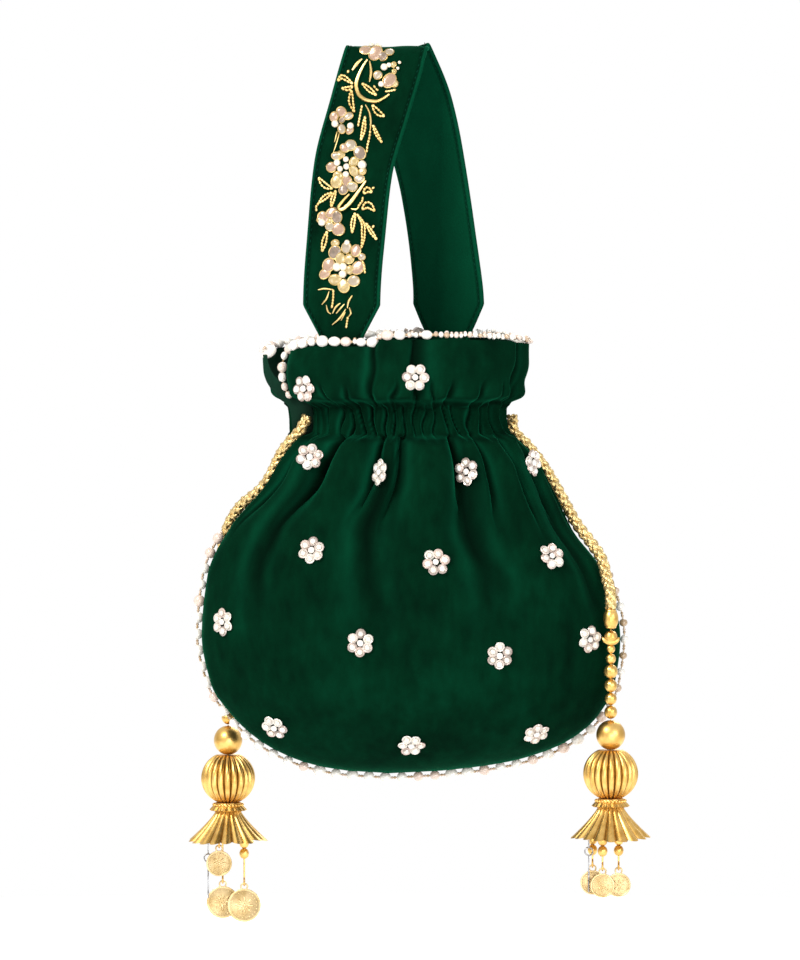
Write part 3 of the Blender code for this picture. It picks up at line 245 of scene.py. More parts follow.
@dataclass(frozen=True)
class PearlFinish:
    """Warm white pearls, a few of them pinkish or cream."""

    name: str = "warm_pearl"
    cream: Colour = (0.36, 0.22, 0.08)
    pink: Colour = (0.66, 0.51, 0.42)
    white: Colour = (0.82, 0.78, 0.71)

    def material(self) -> bpy.types.Material:
        """Return the pearls' material."""
        made = NodeSet(self.name)
        tone = made.attribute("tone")
        colour = made.ramp(tone, ((0.0, self.cream), (0.35, self.pink), (0.62, self.white), (1.0, self.white)))
        orient = made.noise(420.0, 2.0)
        colour = made.mix(made.spread(orient, 0.0, 0.16), colour, self.pink)
        return made.dress({"Roughness": 0.22, "Coat Weight": 0.6, "Coat Roughness": 0.08, "IOR": 1.6,
                           "Sheen Weight": 0.15},
                          {"Base Color": colour, "Normal": made.bump(orient, 0.12, 0.0003)})


@dataclass(frozen=True)
class ShellFinish:
    """Shell and sequin petals: smoky, pinkish, silvery or gold by their tone."""

    name: str = "shell_petal"
    smoke: Colour = (0.13, 0.11, 0.085)
    pink: Colour = (0.38, 0.24, 0.16)
    silver: Colour = (0.35, 0.29, 0.21)
    gold: Colour = (0.40, 0.29, 0.11)
    pearl: Colour = (0.80, 0.72, 0.57)

    def material(self) -> bpy.types.Material:
        """Return the petals' material."""
        made = NodeSet(self.name)
        clouds = made.noise(620.0, 3.0)
        tone = made.add("ShaderNodeMath", {0: made.attribute("tone"), 1: made.spread(clouds, -0.16, 0.16)},
                        operation="ADD").outputs[0]
        colour = made.ramp(tone, ((0.0, self.smoke), (0.30, self.pink), (0.55, self.silver),
                                  (0.78, self.gold), (0.95, self.pearl)))
        return made.dress({"Roughness": 0.26, "Metallic": 0.25, "Coat Weight": 0.5, "Coat Roughness": 0.1},
                          {"Base Color": colour, "Normal": made.bump(clouds, 0.35, 0.0004)})


@dataclass(frozen=True)
class GoldFinish:
    """Satin gold plating with worn, browner patches, and painted shade in its grooves, crimps and pleat valleys."""

    name: str = "satin_gold"
    bright: Colour = (0.70, 0.45, 0.14)
    worn: Colour = (0.50, 0.29, 0.07)
    roughness: tuple[float, float] = (0.30, 0.42)
    grain: float = 0.05

    def material(self) -> bpy.types.Material:
        """Return the metal's material."""
        made = NodeSet(self.name)
        wear = made.noise(180.0, 5.0)
        fine = made.noise(1900.0, 2.0)
        crease_shade = made.attribute("crease_shade")
        colour = made.ramp(wear, ((0.34, self.worn), (0.60, self.bright)))
        # painted shade: grooves, pleat valleys, crimps and the coin's rim groove are darkened towards a dark brown
        colour = made.mix(made.spread(crease_shade, 0.0, 0.85), colour, tuple(value * 0.35 for value in self.worn))
        rough = made.spread(wear, self.roughness[1], self.roughness[0])
        return made.dress({"Metallic": 1.0},
                          {"Base Color": colour, "Roughness": rough,
                           "Normal": made.bump(fine, self.grain, 0.0002)})


@dataclass(frozen=True)
class ZariFinish:
    """Gold thread wound on a core, for the braided cords."""

    name: str = "zari_thread"
    light: Colour = (0.86, 0.68, 0.36)
    dark: Colour = (0.44, 0.29, 0.09)

    def material(self) -> bpy.types.Material:
        """Return the thread's material."""
        made = NodeSet(self.name)
        lay = made.attribute("lay")
        wave = made.add("ShaderNodeMath", {0: lay}, operation="SINE").outputs[0]
        wound = made.spread(wave, 0.5, 1.0)
        fleck = made.noise(900.0, 3.0)
        colour = made.mix(fleck, self.dark, self.light)
        colour = made.mix(made.spread(wave, 0.35, 0.0), colour, self.dark)
        normal = made.bump(wound, 0.8, 0.00025)
        return made.dress({"Metallic": 0.85, "Roughness": 0.36},
                          {"Base Color": colour, "Normal": made.bump(fleck, 0.3, 0.0002, normal)})


@dataclass(frozen=True)
class WireFinish:
    """Thin bright steel wire, a little tarnished."""

    name: str = "steel_wire"
    bright: Colour = (0.42, 0.42, 0.43)
    dull: Colour = (0.16, 0.15, 0.14)

    def material(self) -> bpy.types.Material:
        """Return the wire's material."""
        made = NodeSet(self.name)
        tarnish = made.noise(700.0, 3.0)
        colour = made.ramp(tarnish, ((0.35, self.dull), (0.65, self.bright)))
        return made.dress({"Metallic": 1.0, "Roughness": 0.3}, {"Base Color": colour})


class Wardrobe:
    """Every material of the bag, made once."""

    def __init__(self) -> None:
        """Make the materials."""
        self.velvet = VelvetFinish().material()
        self.lining = LiningFinish().material()
        self.pearl = PearlFinish().material()
        self.shell = ShellFinish().material()
        self.silver = ShellFinish("silver_bead", (0.20, 0.17, 0.15), (0.54, 0.41, 0.35), (0.64, 0.60, 0.54),
                                  (0.70, 0.60, 0.44), (0.84, 0.80, 0.75)).material()
        self.gold = GoldFinish().material()
        self.bugle = GoldFinish("bugle_gold", (0.68, 0.51, 0.22), (0.46, 0.32, 0.11), (0.34, 0.50), 0.08).material()
        self.coin = GoldFinish("stamped_brass", (0.60, 0.45, 0.24), (0.43, 0.30, 0.13), (0.36, 0.50), 0.18).material()
        self.zari = ZariFinish().material()
        self.steel = WireFinish().material()
        self.stitch = VelvetFinish("stitch_thread", (0.001, 0.012, 0.006), (0.002, 0.030, 0.016),
                                   (0.004, 0.05, 0.028)).material()


# ---- mesh helpers


def ease(value: float) -> float:
    """Return a smooth step of a value held between 0 and 1."""
    value = min(max(value, 0.0), 1.0)
    return value * value * (3 - 2 * value)


def between(knots: Sequence[float], values: Sequence[float], at: float) -> float:
    """Read a smooth curve through the values at the knots, level where they turn.

    Args:
        knots: Rising places.
        values: The curve's value at each.
        at: Where to read it.

    Returns:
        The value there, held at the ends.
    """
    last = len(knots) - 1
    if at <= knots[0]:
        return values[0]
    if at >= knots[last]:
        return values[last]
    index = 0
    while knots[index + 1] < at:
        index += 1

    def slope(i: int) -> float:
        """Return the curve's slope at a knot."""
        if i in (0, last):
            low, high = max(i - 1, 0), min(i + 1, last)
            return (values[high] - values[low]) / (knots[high] - knots[low])
        before = (values[i] - values[i - 1]) / (knots[i] - knots[i - 1])
        after = (values[i + 1] - values[i]) / (knots[i + 1] - knots[i])
        return 0.0 if before * after <= 0 else 2 * before * after / (before + after)

    step = knots[index + 1] - knots[index]
    share = (at - knots[index]) / step
    change = values[index + 1] - values[index]
    start, end = slope(index) * step, slope(index + 1) * step
    return (values[index] + start * share + (3 * change - 2 * start - end) * share ** 2
            + (start + end - 2 * change) * share ** 3)


def lengths_along(points: Sequence[Vector]) -> list[float]:
    """Return the distance from the first point to each point of a path."""
    lengths = [0.0]
    for first, second in zip(points, points[1:]):
        lengths.append(lengths[-1] + (second - first).length)
    return lengths


def smooth_path(points: Sequence[Vector], count: int) -> list[Vector]:
    """Return evenly spread points of a smooth curve through the given ones."""
    lengths = lengths_along(points)
    axes = [[point[axis] for point in points] for axis in range(3)]
    return [Vector([between(lengths, axes[axis], lengths[-1] * step / (count - 1)) for axis in range(3)])
            for step in range(count)]


def point_at(points: Sequence[Vector], lengths: Sequence[float], distance: float) -> Vector:
    """Return the point of a path at a distance along it."""
    for index in range(len(points) - 1):
        if lengths[index + 1] >= distance or index == len(points) - 2:
            share = (distance - lengths[index]) / max(lengths[index + 1] - lengths[index], 1e-9)
            return points[index].lerp(points[index + 1], min(max(share, 0.0), 1.0))
    return points[-1].copy()


def turn_to(along: Vector, side: Vector = Vector((0.0, 1.0, 0.0))) -> Matrix:
    """Return a rotation whose Z lies along a direction, and whose Y is near side."""
    z = along.normalized()
    x = side.cross(z)
    if x.length < 1e-4:
        x = Vector((1.0, 0.0, 0.0)).cross(z)
    x.normalize()
    return Matrix((x, z.cross(x), z)).transposed().to_4x4()


class Mould:
    """A mesh in the making, with the attributes that the materials read."""

    def __init__(self) -> None:
        """Start an empty mesh."""
        self.bm = bmesh.new()
        # tone is the beads' own colour, and on the velvet a painted highlight
        self.tone = self.bm.verts.layers.float.new("tone")
        # painted shade in creases and grooves, which the velvet and gold materials darken
        self.crease_shade = self.bm.verts.layers.float.new("crease_shade")
        self.lay = self.bm.verts.layers.float.new("lay")

    def mark(self, verts: Sequence[bmesh.types.BMVert], tone: float) -> None:
        """Give the points a tone."""
        for vert in verts:
            vert[self.tone] = tone

    def ball(self, place: Vector, radii: Sequence[float], turn: Matrix = Matrix.Identity(4), tone: float = 0.6,
             fine: int = 3) -> list[bmesh.types.BMVert]:
        """Add an ellipsoid of the given radii and return its points."""
        shape = Matrix.Translation(place) @ turn @ Matrix.Diagonal((*radii, 1.0))
        made = bmesh.ops.create_icosphere(self.bm, subdivisions=fine, radius=1.0, matrix=shape)["verts"]
        self.mark(made, tone)
        return made

    def grid(self, columns: int, rows: int, place: Place, weld: bool = False) -> list[bmesh.types.BMVert]:
        """Add a grid whose points are set by a function of the shares across and along.

        Args:
            columns: Faces across.
            rows: Faces along.
            place: The function of two shares from 0 to 1.
            weld: Whether edges that meet are joined.

        Returns:
            The grid's points.
        """
        made = bmesh.ops.create_grid(self.bm, x_segments=columns, y_segments=rows, size=0.5)["verts"]
        for vert in made:
            vert.co = place(vert.co.x + 0.5, vert.co.y + 0.5)
        if weld:
            bmesh.ops.remove_doubles(self.bm, verts=made, dist=0.000002)
            made = [vert for vert in made if vert.is_valid]
        return made

    def tube(self, path: Sequence[Vector], radius: Callable[[float], float], sides: int = 6,
             lay: float = 0.0) -> list[bmesh.types.BMVert]:
        """Add a round tube with closed ends along a path.

        Args:
            path: Its middle line.
            radius: Its radius at a share along.
            sides: How many sides it has.
            lay: Turns of the thread for each metre, kept as an attribute.

        Returns:
            The tube's points.
        """
        lengths = lengths_along(path)
        spines = []
        side = Vector((0.3, 1.0, 0.2))
        for index, point in enumerate(path):
            along = path[min(index + 1, len(path) - 1)] - path[max(index - 1, 0)]
            turn = turn_to(along, side)
            side = turn.to_3x3() @ Vector((0.0, 1.0, 0.0))
            spines.append((point, turn.to_3x3()))
        rows = len(path) - 1

        def place(around: float, share: float) -> Vector:
            """Return a point of the tube's skin."""
            point, turn = spines[round(share * rows)]
            angle = 2 * math.pi * around
            reach = radius(share)
            return point + turn @ Vector((reach * math.cos(angle), reach * math.sin(angle), 0.0))

        made = bmesh.ops.create_grid(self.bm, x_segments=sides, y_segments=rows, size=0.5)["verts"]
        for vert in made:
            around, share = vert.co.x + 0.5, vert.co.y + 0.5
            vert[self.lay] = 2 * math.pi * (lengths[round(share * rows)] * lay + around)
            vert.co = place(around, share)
        bmesh.ops.remove_doubles(self.bm, verts=made, dist=0.000002)
        made = [vert for vert in made if vert.is_valid]
        open_edges = {edge for vert in made for edge in vert.link_edges if edge.is_boundary}
        bmesh.ops.holes_fill(self.bm, edges=list(open_edges), sides=sides + 2)
        return made

    def turned(self, profile: Sequence[tuple[float, float]], steps: int, place: Vector,
               closed: bool = True) -> list[bmesh.types.BMVert]:
        """Add a solid of revolution about the vertical.

        Args:
            profile: Radius and height of each point, from the top down.
            steps: Faces round it.
            place: Where the profile's zero lies.
            closed: Whether its ends are closed on the axis.

        Returns:
            Its points.
        """
        outline = list(profile)
        if closed:
            outline = [(0.0, outline[0][1])] + outline + [(0.0, outline[-1][1])]
        before = set(self.bm.verts)
        verts = [self.bm.verts.new((radius, 0.0, height)) for radius, height in outline]
        edges = [self.bm.edges.new(pair) for pair in zip(verts, verts[1:])]
        bmesh.ops.spin(self.bm, geom=verts + edges, cent=(0, 0, 0), axis=(0, 0, 1), angle=2 * math.pi,
                       steps=steps, use_merge=True)
        made = [vert for vert in self.bm.verts if vert not in before]
        bmesh.ops.remove_doubles(self.bm, verts=made, dist=0.000002)
        made = [vert for vert in made if vert.is_valid]
        bmesh.ops.translate(self.bm, verts=made, vec=place)
        return made

    def finish(self, name: str, materials: Sequence[bpy.types.Material], body: str,
               nodes: Sequence[str] = (), angle: float = 40.0,
               recalc: bool = True) -> bpy.types.Object:
        """Turn the mesh into a piece that rides on a body.

        Args:
            name: The piece's name.
            materials: Its materials, in the order of its faces' material numbers.
            body: The CAD body that it rides on.
            nodes: CAD nodes that it stands for.
            angle: Edges sharper than this stay sharp.
            recalc: Whether its faces are turned outwards.

        Returns:
            The piece's object.
        """
        if recalc:
            bmesh.ops.recalc_face_normals(self.bm, faces=self.bm.faces)
        mesh = bpy.data.meshes.new(name)
        self.bm.to_mesh(mesh)
        self.bm.free()
        for material in materials:
            mesh.materials.append(material)
        mesh.shade_smooth()
        mesh.set_sharp_from_angle(angle=math.radians(angle))
        piece = bpy.data.objects.new(name, mesh)
        bpy.context.scene.collection.objects.link(piece)
        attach(piece, body)
        if nodes:
            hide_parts(*nodes)
        log.info("%s: %d faces", name, len(mesh.polygons))
        return piece


def photo_place(x: float, y: float) -> tuple[float, float]:
    """Return X and Z in metres of a place in the photograph's pixels."""
    return (x - FOLD_PIXEL[0]) * PIXEL * MM, -(y - FOLD_PIXEL[1]) * PIXEL * MM


# ---- the pouch


@dataclass(frozen=True)
class FoldZone:
    """A band of the velvet with folds between creases.

    The creases are shares across the panel, the depth and the heights are in millimetres, and the puffs
    between creases lean to the right where lean is above 1.
    """

    creases: tuple[float, ...]
    depth: float
    top: float
    bottom: float
    top_blend: float
    bottom_blend: float
    wander: float = 0.006
    roundness: float = 2.4
    lean: float = 1.0

    def weight(self, z: float) -> float:
        """Return how far the band's folds are in force at a height in millimetres."""
        above = ease((self.top + self.top_blend - z) / self.top_blend)
        return above * ease((z - self.bottom + self.bottom_blend) / self.bottom_blend)

    def fold(self, across: float, z: float) -> tuple[float, float, float]:
        """Return the outward push in millimetres, the painted shade for how deep in a crease a place is, and the
        painted sheen for how far on its lip a place is.
        """
        weight = self.weight(z)
        if weight <= 0:
            return 0.0, 0.0, 0.0
        drift = math.sin(z * 0.11 + across * 23.0) + 0.7 * math.sin(z * 0.27 + across * 41.0)
        at = across + self.wander * drift * ease(across / 0.06) * ease((1 - across) / 0.06)
        index = 0
        while index < len(self.creases) - 2 and self.creases[index + 1] < at:
            index += 1
        low, high = self.creases[index], self.creases[index + 1]
        odd = math.sin(index * 12.9898 + self.depth * 78.233)
        share = min(max((at - low) / (high - low), 0.0), 1.0) ** (self.lean * (1 + 0.4 * odd))
        puff = 1 - abs(2 * share - 1) ** self.roundness
        size = min(1.3, ((high - low) / 0.09) ** 0.5) * (1 + 0.3 * odd)
        # painted highlight on the lips beside each crease, stronger on one side of each puff
        lip_sheen = math.exp(-((puff - 0.5) / 0.2) ** 2) * (0.8 if share > 0.5 else 0.3) * min(1.0, self.depth / 7.0)
        return weight * self.depth * size * (puff - 0.5), weight * max(0.0, 1 - puff * 1.9), weight * lip_sheen


FRONT_ZONES = (
    FoldZone((0.0, 0.405, 0.512, 0.86, 1.0), 3.6, -140.0, -177.0, 4.0, 5.0, 0.004, 7.0, 1.7),
    FoldZone((0.0, 0.13, 0.25, 0.33, 0.405, 0.46, 0.512, 0.58, 0.63, 0.72, 0.80, 0.90, 1.0), 3.6, -177.0, -182.0,
             10.0, 2.5, 0.010, 2.6),
    FoldZone((0.0, 0.045, 0.091, 0.14, 0.187, 0.247, 0.285, 0.327, 0.375, 0.424, 0.452, 0.482, 0.512, 0.543, 0.573,
              0.616, 0.656, 0.724, 0.765, 0.807, 0.879, 0.945, 1.0), 6.0, -183.0, -198.0, 2.5, 4.0, 0.009, 2.0),
    FoldZone((0.0, 0.10, 0.241, 0.407, 0.461, 0.62, 0.70, 0.80, 0.88, 0.94, 1.0), 9.0, -200.0, -210.0, 3.0, 46.0,
             0.0016, 2.8),
    FoldZone((0.0, 0.241, 0.44, 0.63, 0.86, 1.0), 2.4, -214.0, -240.0, 12.0, 84.0, 0.002, 2.0),
)
BACK_ZONES = (
    FoldZone((0.0, 0.22, 0.55, 0.70, 1.0), 3.2, -140.0, -177.0, 4.0, 5.0, 0.004, 7.0, 1.5),
    FoldZone((0.0, 0.08, 0.17, 0.26, 0.35, 0.43, 0.52, 0.60, 0.69, 0.79, 0.90, 1.0), 3.4, -177.0, -182.0, 9.0, 2.5,
             0.010, 2.4),
    FoldZone((0.0, 0.06, 0.11, 0.16, 0.21, 0.27, 0.32, 0.36, 0.41, 0.46, 0.50, 0.55, 0.60, 0.66, 0.71, 0.77, 0.82,
              0.88, 0.94, 1.0), 5.8, -183.0, -198.0, 2.5, 4.0, 0.009, 2.0),
    FoldZone((0.0, 0.11, 0.22, 0.36, 0.47, 0.56, 0.70, 0.83, 0.92, 1.0), 8.4, -200.0, -210.0, 3.0, 46.0, 0.0016, 2.8),
    FoldZone((0.0, 0.22, 0.41, 0.60, 0.80, 1.0), 2.3, -214.0, -238.0, 12.0, 84.0, 0.002, 2.0),
)

# Height, left edge, right edge and half depth, in millimetres. The two panels share the lower rows.
BODY_CUT = (
    (-202.0, -45.0, 67.5, 32.5), (-209.5, -51.0, 73.5, 36.5), (-222.0, -58.8, 79.5, 40.0),
    (-247.1, -83.3, 93.9, 45.0), (-272.2, -95.1, 112.1, 49.0), (-303.0, -98.0, 119.6, 50.0),
    (-328.2, -92.6, 116.6, 46.0), (-344.0, -82.0, 108.5, 38.5), (-357.0, -68.6, 94.0, 29.0),
    (-367.1, -50.0, 69.0, 19.0), (-373.0, -27.0, 33.0, 9.0), (-375.0, 0.0, 0.0, 0.0),
)
FRONT_CUT = (
    (-149.0, -52.1, 71.5, 30.5), (-158.0, -53.8, 71.5, 34.0), (-171.0, -52.0, 68.2, 35.0), (-178.2, -49.0, 66.0, 34.0),
    (-181.4, -43.0, 61.0, 27.0), (-184.0, -39.5, 59.5, 24.0), (-190.5, -39.0, 59.5, 24.0), (-197.3, -39.5, 62.0, 25.0),
) + BODY_CUT
BACK_CUT = (
    (-149.0, -66.0, 66.0, 30.5), (-158.0, -65.5, 66.5, 34.0), (-171.0, -61.5, 65.0, 35.0), (-178.2, -57.5, 63.0, 33.5),
    (-181.4, -53.5, 60.0, 27.0), (-184.0, -52.0, 59.0, 24.0), (-190.5, -51.0, 59.5, 24.0), (-197.3, -50.5, 61.5, 25.0),
) + BODY_CUT


@dataclass
class PouchPanel:
    """One half of the pouch: gathered velvet outside and a smooth lining inside."""

    side: Side
    node: str
    cut: tuple[tuple[float, float, float, float], ...]
    zones: tuple[FoldZone, ...]
    rim_places: tuple[float, ...]
    rim_drops: tuple[float, ...]
    seed: float
    columns: int = 246
    rows: int = 192
    wall: float = 2.2
    seam_gap: float = 0.15
    fullness: float = 0.86
    casing_top: float = -184.0
    rim: float = -149.0
    bottom: float = -375.0
    flat_size: tuple[float, float] = (0.270, 0.255)
    cut_area: float = 0.052
    outlines: dict[float, tuple[float, float, float]] = field(default_factory=dict)

    def outline(self, z: float) -> tuple[float, float, float]:
        """Return the middle, half width and half depth at a height, in millimetres."""
        key = round(z, 3)
        if key not in self.outlines:
            knots = [-row[0] for row in self.cut]
            left, right, depth = (between(knots, [row[column] for row in self.cut], -z) for column in (1, 2, 3))
            self.outlines[key] = ((left + right) / 2, (right - left) / 2, depth)
        return self.outlines[key]

    def folds(self, across: float, z: float) -> tuple[float, float, float]:
        """Return the outward push in millimetres, the painted shade in creases and under the casing's tucks, and the
        painted sheen on fold lips at a place.
        """
        push, crease_shade, lip_sheen = 0.0, 0.0, 0.0
        for zone in self.zones:
            more, deep, raised = zone.fold(across, z)
            push += more
            crease_shade, lip_sheen = max(crease_shade, deep), max(lip_sheen, raised)
        body = ease((-196.0 - z) / 30.0) * ease((z - self.bottom) / 30.0)
        soft = noise.noise(Vector((across * 6.5, z * 0.020, self.seed))) * 2.3
        soft += noise.noise(Vector((across * 15.0, z * 0.045, self.seed + 4.0))) * 0.8
        ruffle = ease((z + 182.0) / 8.0)
        soft_ruffle = noise.noise(Vector((across * 11.0, z * 0.06, self.seed + 9.0))) * 1.5
        edge = ease(across / 0.07) * ease((1 - across) / 0.07)
        z += self.wobble(across, z)
        # painted shade along the two tucks of the casing, under the overhanging gathers
        tuck_shade = max(math.exp(-((z + 182.4) / 1.7) ** 2), math.exp(-((z + 199.4) / 1.8) ** 2))
        tuck_shade *= 0.75 + 0.4 * noise.noise(Vector((across * 19.0, z * 0.05, self.seed + 2.0)))
        return (push + soft * body + soft_ruffle * ruffle) * edge, max(crease_shade * edge, tuck_shade), lip_sheen * edge

    def wobble(self, across: float, z: float) -> float:
        """Return how far the casing's edges wander up and down at a place, in millimetres."""
        near = math.exp(-((z + 191.0) / 13.0) ** 2)
        return 4.2 * near * noise.noise(Vector((across * 13.0, 0.5, self.seed + 7.0)))

    def point(self, across: float, z: float, lining: bool = False) -> Vector:
        """Return a point of the panel.

        Args:
            across: Share of the way from the left seam to the right one.
            z: The row's height in millimetres.
            lining: Whether the point is on the lining.

        Returns:
            The point in metres.
        """
        middle, half, depth = self.outline(z + self.wobble(across, z))
        push = self.folds(across, z)[0]
        drop = between(self.rim_places, self.rim_drops, across) * ease((z - self.casing_top) / 26.0)
        height = z - drop
        if lining:
            at_rim = ease((z - self.rim + 14.0) / 14.0)
            room = self.wall + (1 - at_rim) * (1.5 + 8.0 * ease((self.rim - z) / 34.0) * ease((z + 345.0) / 90.0))
            half -= room * min(1.0, half / 20.0)
            depth -= room * min(1.0, depth / 12.0)
            push *= at_rim
            height += self.wall * 1.6 * ease((-222.0 - z) / 153.0)
        angle = math.pi * across
        half += push
        depth += push
        curve = max(math.sin(angle), 0.0) ** self.fullness
        gap = self.seam_gap * (2 * ease((z + 184.0) / 6.0) - 0.5)
        return Vector((middle - half * math.cos(angle), self.side.value * (depth * curve + gap), height)) * MM

    def across_at(self, x: float, z: float) -> float:
        """Return the share across at which a row passes a place X in metres."""
        low, high = 0.0, 1.0
        for _ in range(24):
            middle = (low + high) / 2
            if self.point(middle, z).x < x:
                low = middle
            else:
                high = middle
        return (low + high) / 2

    def surface(self, x: float, z: float) -> Vector:
        """Return the velvet's point at X and height, both in metres."""
        row = z / MM
        for _ in range(4):
            place = self.point(self.across_at(x, row), row)
            row = min(row + (z - place.z) / MM, self.rim)
        return place

    def normal(self, x: float, z: float, step: float = 3 * MM) -> Vector:
        """Return the outward direction of the velvet at X and height in metres."""
        along = self.surface(x + step, z) - self.surface(x - step, z)
        down = self.surface(x, z - step) - self.surface(x, z + step)
        out = along.cross(down).normalized()
        if out.y * self.side.value < 0:
            out.negate()
        return out

    def row_height(self, share: float) -> float:
        """Return the height in millimetres of a row, closer together at the neck."""
        shares = (0.0, 0.16, 0.46, 1.0)
        heights = (self.rim, -176.0, -212.0, self.bottom)
        return -between(shares, [-height for height in heights], share)

    def build(self, wardrobe: Wardrobe) -> bpy.types.Object:
        """Model the panel and return it."""
        mould = Mould()
        outer = mould.grid(self.columns, self.rows, lambda u, v: Vector((u, v, 0.0)))
        made = bmesh.ops.duplicate(mould.bm, geom=mould.bm.verts[:] + mould.bm.edges[:] + mould.bm.faces[:])
        inner = [item for item in made["geom"] if isinstance(item, bmesh.types.BMVert)]
        lining_faces = [item for item in made["geom"] if isinstance(item, bmesh.types.BMFace)]
        for verts, lining in ((outer, False), (inner, True)):
            for vert in verts:
                across, z = vert.co.x, self.row_height(1 - vert.co.y)
                # painted shade in creases and painted sheen on fold lips go into the mesh's attributes
                _, vert[mould.crease_shade], vert[mould.tone] = self.folds(across, z)
                vert.co = self.point(across, z, lining)
            bmesh.ops.remove_doubles(mould.bm, verts=verts, dist=0.000001)
        for face in lining_faces:
            if face.is_valid:
                face.material_index = 1
        rim = [edge for edge in mould.bm.edges if edge.is_boundary]
        bmesh.ops.bridge_loops(mould.bm, edges=rim)
        panel = mould.finish(f"velvet_{self.node}", (wardrobe.velvet, wardrobe.lining), "bag", (self.node,),
                             70.0)
        return panel


# ---- pearls


